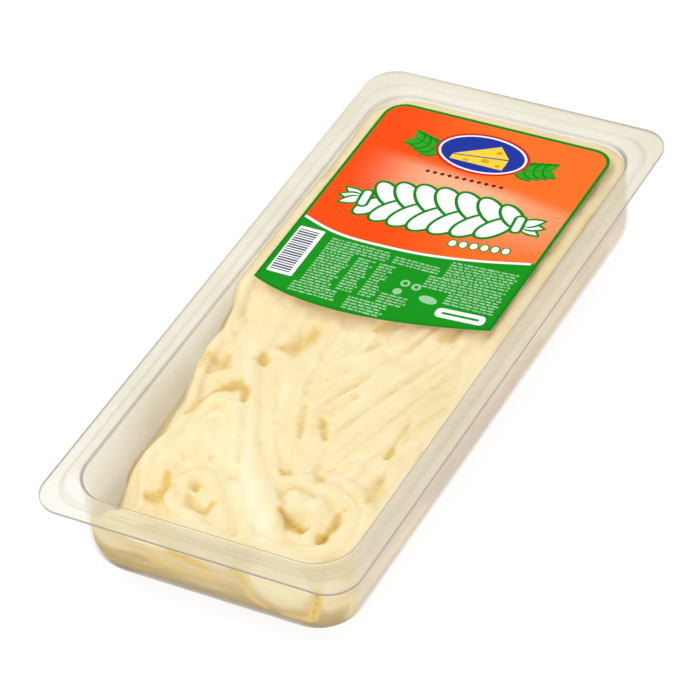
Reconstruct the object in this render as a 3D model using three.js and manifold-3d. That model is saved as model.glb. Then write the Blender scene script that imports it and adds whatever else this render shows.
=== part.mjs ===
// A sealed retail pack of string cheese: a clear thermoformed tray, a skein of cheese strands that
// nearly fills it, a clear lid film sealed to the flange, and a printed label on the film.
// Units are millimetres. X runs across the pack, Y along it towards the label's end, and Z is up.
// The origin is the middle of the base.

import * as THREE from 'three';
import { mergeVertices } from 'three/addons/utils/BufferGeometryUtils.js';
import Module from 'manifold-3d';

// Driving dimensions.
const PACK = { length: 200, width: 95, corner: 9 };
const TRAY = {
  height: 30,         // underside of the base to the top of the flange
  sheet: 0.625,       // thickness of the formed sheet
  foldRadius: 1,      // where the flange turns down into the wall
  footRadius: 11,     // between the wall and the floor, on the inside
};
const MOUTH = {
  length: 181.6,
  width: 80.6,
  corner: 11.5,
  shift: -0.2,        // its middle lies this far towards +Y
};
const LEAN = {
  side: 0.01,         // how far the long walls come in for each millimetre down
  end: 0.005,
  drift: 0.065,       // how far the middle moves towards -Y for each millimetre down
  corner: 0.03,       // how much the corner radius shrinks for each millimetre the wall comes in
};
const FILM_THICKNESS = 0.125;
const LABEL = {
  thickness: 0.125,
  width: 72,
  farEdge: 86.4,
  corner: 6.5,
  nearLeft: 2.3,      // Y of the curved near edge at its two ends
  nearRight: 5.3,
  dip: { x: -10, y: -8.5 },   // control point of that curve
};
const CHEESE = {
  clearance: 0.3,     // to the tray's wall and to the film
  height: 24.3,       // middle height of the heap's top, above the base
  wallDrop: 2.2,      // the core's edge lies this much lower
  coreDepth: 2.2,     // the bare core lies this far under the strands' middles
  wallDepth: 1.8,     // and this far inside the strands that lie along the tray's wall
  lump: 0.9,          // height of the heap's gentle lumps
  coveredRise: 1.6,   // the heap stands this much higher under the label
  risesFrom: -9,      // Y where that rise starts
  risesTo: 6,
  tuck: 3.5,          // how deep a strand's ends dive into the heap
};
const LEFT_GAP = {    // between the heap and the tray's left wall
  near: 11,           // towards the near end
  far: 0.8,           // towards the label's end
  narrowsFrom: -52,   // Y where it starts to narrow
  narrowsTo: -8,
  drop: 4,            // how far the heap falls at its edge there
};

const CORNER_STEPS = 6;
const FOOT_STEPS = 6;
const FALL_LIMIT = 0.999;   // stops the foot's curve just short of level

// Shape helpers ---------------------------------------------------------------------------------

function roundedRing(halfX, halfY, corner, z, middleY = 0) {
  const ring = [];
  for (let quarter = 0; quarter < 4; quarter++) {
    const signX = quarter === 0 || quarter === 1 ? 1 : -1;
    const signY = quarter === 1 || quarter === 2 ? 1 : -1;
    for (let step = 0; step <= CORNER_STEPS; step++) {
      const angle = (quarter - 1 + step / CORNER_STEPS) * Math.PI / 2;
      ring.push(new THREE.Vector3(
        signX * (halfX - corner) + corner * Math.cos(angle),
        middleY + signY * (halfY - corner) + corner * Math.sin(angle),
        z,
      ));
    }
  }
  return ring;
}

// A closed solid through rings of equal point counts, capped by a fan at each end. The rings turn
// counterclockwise about the direction in which they follow each other on the outside.
function loft(rings, firstCap, lastCap) {
  const count = rings[0].length;
  const points = [...rings.flat(), firstCap, lastCap];
  const faces = [];
  for (let r = 0; r + 1 < rings.length; r++) {
    for (let i = 0; i < count; i++) {
      const next = (i + 1) % count;
      const a = r * count + i;
      const b = r * count + next;
      const c = b + count;
      const d = a + count;
      faces.push(a, b, c, a, c, d);
    }
  }
  const lastRing = (rings.length - 1) * count;
  const first = rings.length * count;
  for (let i = 0; i < count; i++) {
    const next = (i + 1) % count;
    faces.push(first, next, i);
    faces.push(first + 1, lastRing + i, lastRing + next);
  }
  const geometry = new THREE.BufferGeometry();
  geometry.setAttribute('position', new THREE.Float32BufferAttribute(
    points.flatMap((point) => [point.x, point.y, point.z]), 3));
  geometry.setIndex(faces);
  return geometry;
}

function middleOf(ring) {
  const sum = ring.reduce((total, point) => total.add(point), new THREE.Vector3());
  return sum.divideScalar(ring.length);
}

function capped(rings) {
  return loft(rings, middleOf(rings[0]), middleOf(rings[rings.length - 1]));
}

// Repeatable random numbers from 0 to 1.
function seededRandom(seed) {
  let state = seed;
  return () => {
    state = (state * 1664525 + 1013904223) % 4294967296;
    return state / 4294967296;
  };
}

function smoothStep(low, high, value) {
  const share = Math.min(1, Math.max(0, (value - low) / (high - low)));
  return share * share * (3 - 2 * share);
}

// The tray --------------------------------------------------------------------------------------

// Outline of the tray's wall at a height, `inset` inside its inner face. A negative inset of one
// sheet gives the outer face.
function wallRing(z, inset) {
  const depth = TRAY.height - z;
  const radius = TRAY.footRadius - inset;
  const fall = Math.max(0, TRAY.sheet + TRAY.footRadius - z) / radius;
  const curl = radius * (1 - Math.sqrt(1 - Math.min(FALL_LIMIT, fall) ** 2));
  const inward = inset + curl;
  return roundedRing(
    MOUTH.width / 2 - LEAN.side * depth - inward,
    MOUTH.length / 2 - LEAN.end * depth - inward,
    Math.max(MOUTH.corner - LEAN.corner * inward, 2),
    z,
    MOUTH.shift - LEAN.drift * depth,
  );
}

// The rings that follow the foot's curve from the floor up to the wall.
function footRings(inset) {
  const radius = TRAY.footRadius - inset;
  const centre = TRAY.sheet + TRAY.footRadius;
  const rings = [];
  for (let step = 0; step <= FOOT_STEPS; step++) {
    const angle = (1 - step / FOOT_STEPS) * Math.PI / 2;
    rings.push(wallRing(centre - radius * Math.sin(angle), inset));
  }
  return rings;
}

// The fold's rings, from the wall up to the flat of the flange. `radius` is that of this face.
function foldRings(radius, flangeZ, inset) {
  const rings = [];
  for (let step = 0; step <= 3; step++) {
    const angle = step / 3 * Math.PI / 2;
    const ring = wallRing(TRAY.height - TRAY.foldRadius, inset - radius * (1 - Math.cos(angle)));
    const z = flangeZ - radius * (1 - Math.sin(angle));
    rings.push(ring.map((point) => new THREE.Vector3(point.x, point.y, z)));
  }
  return rings;
}

function makeTray() {
  const underside = TRAY.height - TRAY.sheet;
  const outerFold = TRAY.foldRadius - TRAY.sheet;
  const outer = [...footRings(-TRAY.sheet), ...foldRings(outerFold, underside, -TRAY.sheet)];
  const inner = [...footRings(0), ...foldRings(TRAY.foldRadius, TRAY.height, 0)];
  const flange = [
    roundedRing(PACK.width / 2, PACK.length / 2, PACK.corner, underside),
    roundedRing(PACK.width / 2, PACK.length / 2, PACK.corner, TRAY.height),
  ];
  return capped([...outer, ...flange, ...inner.reverse()]);
}

// The lid film and the label --------------------------------------------------------------------

function makeFilm() {
  const bottom = roundedRing(PACK.width / 2, PACK.length / 2, PACK.corner, TRAY.height);
  const top = roundedRing(PACK.width / 2, PACK.length / 2, PACK.corner, TRAY.height + FILM_THICKNESS);
  return capped([bottom, top]);
}

// A field with round far corners and a near edge that bows towards the near end.
function makeLabel() {
  const half = LABEL.width / 2;
  const shape = new THREE.Shape();
  shape.moveTo(-half, LABEL.nearLeft);
  shape.quadraticCurveTo(LABEL.dip.x, LABEL.dip.y, half, LABEL.nearRight);
  shape.lineTo(half, LABEL.farEdge - LABEL.corner);
  shape.absarc(half - LABEL.corner, LABEL.farEdge - LABEL.corner, LABEL.corner, 0, Math.PI / 2);
  shape.lineTo(LABEL.corner - half, LABEL.farEdge);
  shape.absarc(LABEL.corner - half, LABEL.farEdge - LABEL.corner, LABEL.corner, Math.PI / 2, Math.PI);
  const geometry = new THREE.ExtrudeGeometry(shape, {
    depth: LABEL.thickness,
    bevelEnabled: false,
    curveSegments: 10,
  });
  geometry.translate(0, 0, TRAY.height + FILM_THICKNESS);
  return geometry;
}

// The cheese ------------------------------------------------------------------------------------

// The heap stands clear of the left wall, most of all near the near end.
function leftClearance(y) {
  const narrowed = smoothStep(LEFT_GAP.narrowsFrom, LEFT_GAP.narrowsTo, y);
  return LEFT_GAP.near + (LEFT_GAP.far - LEFT_GAP.near) * narrowed;
}

// Middle height of the strands that lie on top of the heap.
function heapTop(x, y) {
  const edge = leftClearance(y) - MOUTH.width / 2;
  const fallen = 1 - smoothStep(edge - LEFT_GAP.drop, edge + 2 * LEFT_GAP.drop, x);
  const swell = Math.sin(x * 0.11 + 0.6) * Math.cos(y * 0.07 + 0.4);
  const rise = CHEESE.coveredRise * smoothStep(CHEESE.risesFrom, CHEESE.risesTo, y);
  return CHEESE.height - LEFT_GAP.drop * fallen + CHEESE.lump * swell + rise;
}

function clearLeftWall(point) {
  if (point.x < 0) {
    const share = -point.x / (MOUTH.width / 2);
    point.x += leftClearance(point.y) * share * smoothStep(4, CHEESE.height, point.z);
  }
  return point;
}

// The bare heap under the strands, with a gently lumpy top.
function makeCore() {
  const inset = CHEESE.clearance + CHEESE.wallDepth;
  const edge = wallRing(CHEESE.height - CHEESE.wallDrop - CHEESE.coreDepth, inset);
  const middle = middleOf(edge);
  const top = [0.94, 0.75, 0.5, 0.25].map((share) => edge.map((point) => {
    const placed = clearLeftWall(point.clone().lerp(middle, 1 - share).setZ(CHEESE.height));
    return placed.setZ(heapTop(placed.x, placed.y) - CHEESE.coreDepth);
  }));
  const sides = [...footRings(inset), edge];
  const floor = sides[0].map((point) => point.clone().setZ(TRAY.sheet));
  sides.forEach((ring) => ring.forEach(clearLeftWall));
  return capped([floor, ...sides, ...top]);
}

// Strands that show through the film, as hand-laid routes of [x, y] on top of the heap. `width` and
// `thick` are the strand's section and `lift` is its height over the heap's top.
const STRANDS = [
  // broad strands from under the label to the near end
  {
    width: 6, thick: 3.6, lift: 0.9,
    route: [[-24, -8], [-20, -29], [-13, -43], [-6, -56], [6, -69], [14, -80]],
  },
  { width: 5.5, thick: 3.4, lift: 0.2, route: [[-17, -5], [-15, -23], [-10, -38], [-2, -52], [5, -63]] },
  { width: 5, thick: 3.2, lift: 0, route: [[-9, -7], [-9, -23], [-4, -38], [3, -53], [8, -60]] },
  { width: 4.6, thick: 3.4, lift: 0.6, route: [[-1, -9], [0, -26], [3, -37], [8, -49], [11, -58]] },
  { width: 4.6, thick: 3.2, lift: 0.4, route: [[15, -8], [13, -30], [15, -43], [14, -53], [11, -61]] },
  // strands along the right wall
  { width: 4.4, thick: 3.2, lift: 0.5, route: [[28, 8], [28, -15], [26, -35], [23, -50], [23, -61]] },
  { width: 4.2, thick: 3.2, lift: 0, route: [[35, 2], [34, -25], [33, -47], [33, -60], [34, -72]] },
  { width: 4, thick: 3, lift: 0.2, route: [[19, 4], [18, -17], [19, -35], [18, -50], [17, -60]] },
  { width: 4, thick: 3, lift: 0, route: [[8, 0], [7, -16], [7, -30], [11, -42]] },
  // the knot in the right near corner and the loop that wraps it
  { width: 4.4, thick: 3.4, lift: 1.4, route: [[13, -75], [12, -69], [17, -67], [23, -67], [29, -70]] },
  {
    width: 5.2, thick: 3.6, lift: 0.7,
    route: [[4, -66], [10, -61], [19, -61], [29, -66], [33, -75], [29, -83], [19, -86]],
  },
  { width: 4, thick: 3, lift: -0.6, route: [[20, -68], [24, -75], [26, -82]] },
  // the folded loops near the left wall
  {
    width: 5.4, thick: 3.4, lift: 1.1,
    route: [[-21, -72], [-26, -59], [-27, -50], [-23, -41], [-17, -43], [-12, -52], [-7, -64]],
  },
  { width: 5, thick: 3, lift: 0.2, route: [[-18, -68], [-20, -54], [-17, -50], [-12, -60], [-5, -72]] },
  {
    width: 4.6, thick: 3.2, lift: 0.6,
    route: [[-29, -62], [-31, -49], [-31, -39], [-26, -31], [-18, -34]],
  },
  {
    width: 4.4, thick: 3.2, lift: 0.8,
    route: [[-27, -75], [-24, -69], [-19, -73], [-15, -80], [-6, -84]],
  },
  { width: 3.6, thick: 3, lift: 1, route: [[-14, -77], [-15, -71], [-11, -68], [-6, -71], [-4, -78]] },
  { width: 4.2, thick: 3, lift: 0.3, route: [[-12, -64], [-4, -73], [1, -80], [6, -87]] },
  { width: 4, thick: 3, lift: 0, route: [[-27, -82], [-29, -72], [-29, -60]] },
  // the loops beside the label's left end
  {
    width: 4.4, thick: 3, lift: 0.8,
    route: [[-33, -36], [-35, -27], [-31, -21], [-26, -25], [-25, -32]],
  },
  { width: 4.6, thick: 3.2, lift: 0.3, route: [[-33, 6], [-34, -12], [-33, -23], [-33, -34]] },
  // the strands that lie along the near wall
  { width: 4.6, thick: 3.4, lift: 0.2, route: [[-27, -84], [-16, -86], [-4, -86], [8, -86]] },
  { width: 4.6, thick: 3.4, lift: 0, route: [[2, -88], [14, -88], [26, -86], [34, -80]] },
];

const STRAND_SIDES = 6;
const STRAND_STEP = 5;            // distance between a strand's sections
const WALL_STEP = 8;              // the same for the long strands along the wall
const COVERED_ROWS = 8;           // strands that lie side by side under the label
const WALL_LEVELS = [7.5, 15];    // heights of the strands that lie along the wall

// Strands under the label, at even distances across the heap with a seeded wander.
function coveredStrands() {
  const random = seededRandom(7);
  const strands = [];
  for (let row = 0; row < COVERED_ROWS; row++) {
    const x = -33 + 66 * row / (COVERED_ROWS - 1);
    const wander = () => 5 * (random() - 0.5);
    strands.push({
      width: 6 + 2 * random(),
      thick: 3.6,
      lift: 0.8 * random() - 0.4,
      route: [[x + wander(), 85], [x + wander(), 58], [x + wander(), 30], [x + wander(), -6]],
    });
  }
  return strands;
}

// A tube of `sideSize` by `upSize` along a row of points.
function sweep(points, sideSize, upSize) {
  const last = points.length - 1;
  const rings = points.map((point, step) => {
    const along = points[Math.min(step + 1, last)].clone().sub(points[Math.max(step - 1, 0)]).normalize();
    const sideways = new THREE.Vector3(0, 0, 1).cross(along).normalize();
    const upward = along.clone().cross(sideways);
    const swell = 1 + 0.12 * Math.sin(step * 1.7 + sideSize);
    return Array.from({ length: STRAND_SIDES }, (_, side) => {
      const angle = side / STRAND_SIDES * 2 * Math.PI;
      return point.clone()
        .addScaledVector(sideways, Math.cos(angle) * sideSize / 2 * swell)
        .addScaledVector(upward, Math.sin(angle) * upSize / 2 * swell);
    });
  });
  return capped(rings);
}

// A flattened strand on top of the heap, whose ends dive into it.
function makeStrand({ width, thick, lift, route }) {
  const flat = new THREE.CatmullRomCurve3(route.map(([x, y]) => new THREE.Vector3(x, y, 0)));
  const steps = Math.max(5, Math.round(flat.getLength() / STRAND_STEP));
  const points = flat.getSpacedPoints(steps).map((point, step) => {
    const fromEnd = Math.min(step, steps - step) / steps;
    const dive = CHEESE.tuck * (1 - smoothStep(0, 0.2, fromEnd));
    return point.setZ(heapTop(point.x, point.y) + lift - dive);
  });
  return sweep(points, width, thick);
}

// A strand that goes round the heap along the wall, from the far end and back to it.
function makeWallStrand(level) {
  const ring = wallRing(level, CHEESE.clearance + 1).map(clearLeftWall);
  const middle = middleOf(ring);
  const half = ring.length / 2;
  const course = new THREE.CatmullRomCurve3([...ring.slice(half), ...ring.slice(0, half)]);
  const steps = Math.round(course.getLength() / WALL_STEP);
  const points = course.getSpacedPoints(steps).map((point, step) => {
    const dive = step === 0 || step === steps ? 0.1 : 0;
    point.lerp(middle, dive);
    return point.setZ(level + 1.6 * Math.sin(step * 0.9 + level));
  });
  return sweep(points, 3.2, 6.2);
}

// The space in the tray that the cheese may take.
function makeRoom() {
  const rings = footRings(CHEESE.clearance);
  const floor = rings[0].map((point) => point.clone().setZ(TRAY.sheet));
  const top = wallRing(TRAY.height - TRAY.foldRadius, CHEESE.clearance);
  return capped([floor, ...rings.slice(1), top]);
}

// Joining with manifold-3d ----------------------------------------------------------------------

const wasm = await Module();
wasm.setup();

function toSolid(geometry) {
  const bare = geometry.clone();
  bare.deleteAttribute('normal');
  bare.deleteAttribute('uv');
  const merged = mergeVertices(bare, 1e-4);
  return new wasm.Manifold(new wasm.Mesh({
    numProp: 3,
    vertProperties: new Float32Array(merged.attributes.position.array),
    triVerts: new Uint32Array(merged.index.array),
  }));
}

function toGeometry(solid) {
  const mesh = solid.getMesh();
  const geometry = new THREE.BufferGeometry();
  geometry.setAttribute('position', new THREE.BufferAttribute(mesh.vertProperties, 3));
  geometry.setIndex(new THREE.BufferAttribute(mesh.triVerts, 1));
  return geometry;
}

// The core with every strand fused on, kept inside the tray. Of what the joining leaves, the largest
// body is the heap: the rest are loose scraps and sealed hollows, which are dropped.
function makeCheese() {
  const strands = [
    ...[...STRANDS, ...coveredStrands()].map(makeStrand),
    ...WALL_LEVELS.map(makeWallStrand),
  ];
  const fused = strands.reduce((heap, strand) => heap.add(toSolid(strand)), toSolid(makeCore()));
  const bodies = fused.intersect(toSolid(makeRoom())).decompose();
  bodies.sort((first, second) => second.volume() - first.volume());
  return toGeometry(bodies[0]);
}

// The pack --------------------------------------------------------------------------------------

function part(name, geometry, color, roughness, opacity = 1) {
  const material = new THREE.MeshStandardMaterial({
    color,
    roughness,
    metalness: 0,
    opacity,
    transparent: opacity < 1,
  });
  const mesh = new THREE.Mesh(geometry, material);
  mesh.name = name;
  return mesh;
}

const pack = new THREE.Group();
pack.add(
  part('tray', makeTray(), 0xece6da, 0.15, 0.35),
  part('lid_film', makeFilm(), 0xf2eee6, 0.1, 0.2),
  part('label', makeLabel(), 0xff6e1e, 0.35),
  part('cheese', makeCheese(), 0xf8e8be, 0.5),
);

export default pack;
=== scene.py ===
# The looks of a sealed tray of string cheese: the clear tray, the film and its printed label, and
# the skein of cheese strands that fills the tray. Lengths here are in millimetres, and MM turns them
# into metres when a mesh is made.

import math

import bpy
import numpy as np
from mathutils import Matrix, Vector, kdtree
from mathutils.noise import noise as perlin


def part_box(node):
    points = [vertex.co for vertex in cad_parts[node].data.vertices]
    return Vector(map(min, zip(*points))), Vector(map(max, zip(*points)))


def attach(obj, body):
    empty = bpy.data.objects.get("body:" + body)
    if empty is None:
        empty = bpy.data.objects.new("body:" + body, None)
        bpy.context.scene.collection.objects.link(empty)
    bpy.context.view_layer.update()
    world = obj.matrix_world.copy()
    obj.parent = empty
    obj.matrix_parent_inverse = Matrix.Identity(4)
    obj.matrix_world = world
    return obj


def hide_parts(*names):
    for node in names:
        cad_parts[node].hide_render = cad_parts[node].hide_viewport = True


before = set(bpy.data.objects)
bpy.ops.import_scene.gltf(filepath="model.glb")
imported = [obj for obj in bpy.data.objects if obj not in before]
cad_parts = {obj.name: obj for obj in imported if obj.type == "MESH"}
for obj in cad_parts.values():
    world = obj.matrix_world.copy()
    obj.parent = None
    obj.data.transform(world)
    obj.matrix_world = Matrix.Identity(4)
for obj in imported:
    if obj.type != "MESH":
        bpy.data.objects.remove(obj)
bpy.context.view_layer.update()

MM = 0.001

# Sizes of the pack, as in the CAD model ----

HALF_WIDTH, HALF_LENGTH, TRAY_HEIGHT = (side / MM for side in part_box("tray")[1])
FILM_LOW_Z, FILM_HIGH_Z = (corner.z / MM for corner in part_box("lid_film"))
LABEL_BASE_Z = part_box("label")[0].z / MM
PACK_CORNER = 9.0
SHEET = 0.625
FOLD_RADIUS = 1.0
FOOT_RADIUS = 11.0
MOUTH_LENGTH = 181.6
MOUTH_WIDTH = 80.6
MOUTH_CORNER = 11.5
MOUTH_SHIFT = -0.2      # of the mouth's middle along Y
LEAN_SIDE = 0.01        # how far the long walls lean in for each millimetre down
LEAN_END = 0.005        # and the end walls
LEAN_DRIFT = 0.065      # how far the whole outline moves towards the near end for each millimetre down
LEAN_CORNER = 0.03      # how much the corners tighten for each millimetre that the wall stands in
# How far the heap's top stands in from the left wall, as Y and the gap there.
LEFT_EDGE = [(-88, 19.0), (-80, 18.0), (-76, 13.0), (-72, 10.6), (-67, 9.0), (-62, 10.8), (-50, 11.2),
             (-39, 7.4), (-29, 3.8), (-20, 3.6), (-12, 3.6), (-3, 1.2), (4, 0.8)]
HEAP_HEIGHT = 24.3
COVERED_RISE = 2.8      # the heap stands higher under the label

CORNER_STEPS = 18
FOOT_STEPS = 14
FOLD_STEPS = 7
ARC_STEPS = 12
OVAL_STEPS = 40


# Small helpers ----

def srgb(red, green, blue):
    """A colour given in 0 to 255 steps, as Blender's linear red, green, blue, alpha."""
    parts = []
    for step in (red, green, blue):
        value = step / 255
        parts.append(value / 12.92 if value <= 0.04045 else ((value + 0.055) / 1.055) ** 2.4)
    return (*parts, 1.0)


def smooth_step(low, high, value):
    share = np.clip((np.asarray(value, float) - low) / (high - low), 0, 1)
    return share * share * (3 - 2 * share)


def link(obj):
    bpy.context.scene.collection.objects.link(obj)
    return obj


def mesh_object(name, points, faces, material, smooth=True, sharp_degrees=40):
    """A mesh object from points in millimetres."""
    mesh = bpy.data.meshes.new(name)
    mesh.from_pydata((np.asarray(points, float) * MM).tolist(), [], faces)
    mesh.update()
    if smooth:
        mesh.shade_smooth()
        mesh.set_sharp_from_angle(angle=math.radians(sharp_degrees))
    mesh.materials.append(material)
    return link(bpy.data.objects.new(name, mesh))


def around(count):
    """Each place on a closed outline of a number of points, with the one that follows it."""
    return [(i, (i + 1) % count) for i in range(count)]


def lofted(rings):
    """Points and faces of a closed body through rings of equal point counts, with a fan at each end."""
    count = len(rings[0])
    points = [tuple(point) for ring in rings for point in ring]
    last = len(points) - count
    middle = len(points)
    points += [tuple(np.mean(rings[0], axis=0)), tuple(np.mean(rings[-1], axis=0))]
    faces = []
    for start in range(0, last, count):
        faces += [(start + i, start + j, start + j + count, start + i + count) for i, j in around(count)]
    for i, j in around(count):
        faces += [(middle, j, i), (middle + 1, last + i, last + j)]
    return points, faces


# Outlines ----

def rounded_ring(half_x, half_y, corner, z, middle_y=0.0, steps=CORNER_STEPS):
    ring = []
    for quarter in range(4):
        sign_x = 1 if quarter in (0, 1) else -1
        sign_y = 1 if quarter in (1, 2) else -1
        for step in range(steps + 1):
            angle = (quarter - 1 + step / steps) * math.pi / 2
            ring.append((
                sign_x * (half_x - corner) + corner * math.cos(angle),
                middle_y + sign_y * (half_y - corner) + corner * math.sin(angle),
                z,
            ))
    return ring


def wall_outline(z, inset=0.0, foot=True):
    """Half width, half length, corner radius and middle Y of the tray's wall at a height. The inset
    is measured from the wall's inner face, and -SHEET gives the outer face. z may be an array. Without
    foot, the wall runs straight down past its rounded foot."""
    depth = TRAY_HEIGHT - np.asarray(z, float)
    radius = FOOT_RADIUS - inset
    fall = np.clip((SHEET + FOOT_RADIUS - np.asarray(z, float)) / radius, 0, 0.999)
    inward = inset + radius * (1 - np.sqrt(1 - fall ** 2)) * foot
    return (
        MOUTH_WIDTH / 2 - LEAN_SIDE * depth - inward,
        MOUTH_LENGTH / 2 - LEAN_END * depth - inward,
        np.maximum(MOUTH_CORNER - LEAN_CORNER * inward, 2),
        MOUTH_SHIFT - LEAN_DRIFT * depth,
    )


def wall_ring(z, inset, steps=CORNER_STEPS):
    half_x, half_y, corner, middle_y = wall_outline(z, inset)
    return rounded_ring(half_x, half_y, corner, z, middle_y, steps)


def wall_distance(points, foot=True):
    """How far each point lies outside the tray wall's inner face, negative inside, and the way out."""
    half_x, half_y, corner, middle_y = wall_outline(points[:, 2], foot=foot)
    across = points[:, 0]
    along = points[:, 1] - middle_y
    over_x = np.abs(across) - (half_x - corner)
    over_y = np.abs(along) - (half_y - corner)
    in_corner = (over_x > 0) & (over_y > 0)
    reach = np.hypot(np.maximum(over_x, 0), np.maximum(over_y, 0))
    distance = np.where(in_corner, reach, np.maximum(over_x, over_y)) - corner
    way = np.zeros((len(points), 2))
    by_x = ~in_corner & (over_x >= over_y)
    by_y = ~in_corner & (over_x < over_y)
    way[by_x, 0] = np.sign(across[by_x])
    way[by_y, 1] = np.sign(along[by_y])
    size = np.maximum(reach, 1e-9)
    way[in_corner, 0] = (np.sign(across) * over_x / size)[in_corner]
    way[in_corner, 1] = (np.sign(along) * over_y / size)[in_corner]
    return distance, way


def skin_gap(points):
    """As wall_distance, but square to the tray's inner face over its rounded foot and its floor, with
    the way out in three axes."""
    away, way = wall_distance(points, foot=False)
    rise = np.minimum(points[:, 2] - SHEET - FOOT_RADIUS, 0)
    out = FOOT_RADIUS + away
    reach = np.maximum(np.hypot(np.maximum(out, 0), rise), 1e-9)
    rounded = rise < 0
    gap = np.where(rounded, reach - FOOT_RADIUS, away)
    flat_share = np.where(rounded, np.maximum(out, 0) / reach, 1)
    down_share = np.where(rounded, rise / reach, 0)
    return gap, np.column_stack([way * flat_share[:, None], down_share])


# Materials ----

class Look:
    """A material with a Principled shader, and its node tree. An input is given as a socket or as a
    plain value."""

    def __init__(self, name):
        self.material = bpy.data.materials.new(name)
        self.material.use_nodes = True
        self.tree = self.material.node_tree
        self.shader = self.tree.nodes["Principled BSDF"]
        self.place = self.add("ShaderNodeTexCoord", {}).outputs["Object"]

    def fill(self, node, inputs):
        for name, value in inputs.items():
            if isinstance(value, bpy.types.NodeSocket):
                self.tree.links.new(value, node.inputs[name])
            else:
                node.inputs[name].default_value = value

    def add(self, kind, inputs, **settings):
        node = self.tree.nodes.new(kind)
        for name, value in settings.items():
            setattr(node, name, value)
        self.fill(node, inputs)
        return node

    def noise(self, scale, detail=2.0, roughness=0.5, vector=None):
        inputs = {"Vector": vector or self.place, "Scale": scale, "Detail": detail, "Roughness": roughness}
        return self.add("ShaderNodeTexNoise", inputs).outputs["Fac"]

    def ramp(self, value, low, high):
        inputs = {"Value": value, "From Min": low, "From Max": high}
        return self.add("ShaderNodeMapRange", inputs, interpolation_type="SMOOTHSTEP").outputs["Result"]

    def mix(self, share, first, second):
        """A mix of two colours."""
        return self.add("ShaderNodeMix", {0: share, 6: first, 7: second}, data_type="RGBA").outputs[2]

    def maths(self, operation, first, second):
        return self.add("ShaderNodeMath", {0: first, 1: second}, operation=operation).outputs[0]

    def plus(self, first, second):
        return self.maths("ADD", first, second)

    def times(self, first, second):
        return self.maths("MULTIPLY", first, second)

    def attribute(self, name, output="Fac"):
        return self.add("ShaderNodeAttribute", {}, attribute_name=name).outputs[output]

    def bump(self, height, strength, distance):
        inputs = {"Height": height, "Strength": strength, "Distance": distance}
        self.fill(self.shader, {"Normal": self.add("ShaderNodeBump", inputs).outputs["Normal"]})

    def finish(self, colour, roughness, **inputs):
        self.fill(self.shader, {"Base Color": colour, "Roughness": roughness})
        self.fill(self.shader, {name.replace("_", " "): value for name, value in inputs.items()})
        return self.material


CREAM, DARK_CREAM = srgb(249, 231, 184), srgb(243, 222, 165)
# the streaks along the fibres are their own colour, and the palest cream paints highlights and folds lit
# paler
PALE_STREAK, PALEST_AND_HIGHLIGHT = srgb(253, 241, 210), srgb(253, 248, 222)
# painted brown shade against the wall, along the near foot and on parts of the top
WALL_SHADE = srgb(178, 148, 74)
# painted yellow shade in the gaps and hollows, and darker painted shade in the deepest
GAP_SHADE, DEEP_GAP_SHADE = srgb(226, 192, 98), srgb(192, 148, 48)


def cheese_material():
    """Cream cheese flesh. One vertex attribute is 1 in the deepest gaps, where it paints yellow shade,
    "shade" is 1 where painted shade makes the cheese darker against the wall, one is 1 on the palest
    ribbon and paints highlights and lit folds paler, and "fibre" runs along the strands."""
    look = Look("moist_cheese")
    streaks = look.noise(1.0, 3.0, 0.55, vector=look.attribute("fibre", "Vector"))
    colour = look.mix(look.ramp(look.noise(60.0), 0.3, 0.7), CREAM, DARK_CREAM)
    colour = look.mix(look.times(look.ramp(streaks, 0.4, 0.75), 0.6), colour, PALE_STREAK)
    # paler on the palest ribbon, with painted highlights and folds painted as if lit
    colour = look.mix(look.attribute("pale_and_highlight"), colour, PALEST_AND_HIGHLIGHT)
    # painted brown shade
    colour = look.mix(look.attribute("shade"), colour, WALL_SHADE)
    # painted yellow shade in the gaps and hollows, laid on unevenly
    mottle = look.plus(look.noise(700.0, 3.0), 0.5)
    gap_shade = look.times(look.attribute("gap_shade"), mottle)
    colour = look.mix(look.ramp(gap_shade, 0.04, 0.55), colour, GAP_SHADE)
    colour = look.mix(look.ramp(gap_shade, 0.5, 1.0), colour, DEEP_GAP_SHADE)
    grain = look.noise(900.0, 3.0)
    look.bump(look.plus(streaks, look.times(grain, 0.25)), 0.22, 0.0004)
    return look.finish(colour, 0.5, Subsurface_Weight=0.3, Subsurface_Radius=(1.0, 0.7, 0.35),
                       Subsurface_Scale=0.002, Specular_IOR_Level=0.3)


CLOUD_TINT = srgb(150, 140, 120)
# painted shade for the dark line along the near foot
FOOT_SHADE_TINT = srgb(158, 136, 88)


def clear_material(name, haze, tint, warm_tint, milky_sheen_tint, painted_line_tint, painted_line_alpha):
    """Clear plastic. The vertex attribute "edge" marks the folds and the cut edge, where the sheet is
    seen along its thickness and a painted dark line stands for how it looks there, "show" scales the
    sheet's own haze, "warm" is 1 where the sheet is tinted yellow, one attribute is 1 where the sheet is
    milkier, partly haze and partly a painted sheen where the wall is seen at a glancing angle, and
    "foot" marks the painted brownish shade line along the near foot."""
    look = Look(name)
    edge, foot = look.attribute("edge"), look.attribute("foot")
    cloud = look.noise(35.0, 3.0)
    # milkier where a painted sheen stands for the wall seen at a glancing angle
    colour = look.mix(look.attribute("milky_sheen"), look.mix(look.attribute("warm"), tint, warm_tint), milky_sheen_tint)
    colour = look.mix(look.times(cloud, 0.12), colour, CLOUD_TINT)
    # painted lines at the folds and the cut edge, and painted shade along the near foot
    colour = look.mix(foot, look.mix(edge, colour, painted_line_tint), FOOT_SHADE_TINT)
    veil = look.times(look.attribute("show"), look.times(look.plus(cloud, 0.5), haze))
    line = look.times(look.plus(edge, foot), painted_line_alpha)
    look.bump(look.noise(70.0), 0.05, 0.0005)
    return look.finish(colour, 0.12, Alpha=look.plus(veil, line), IOR=1.5)


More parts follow.
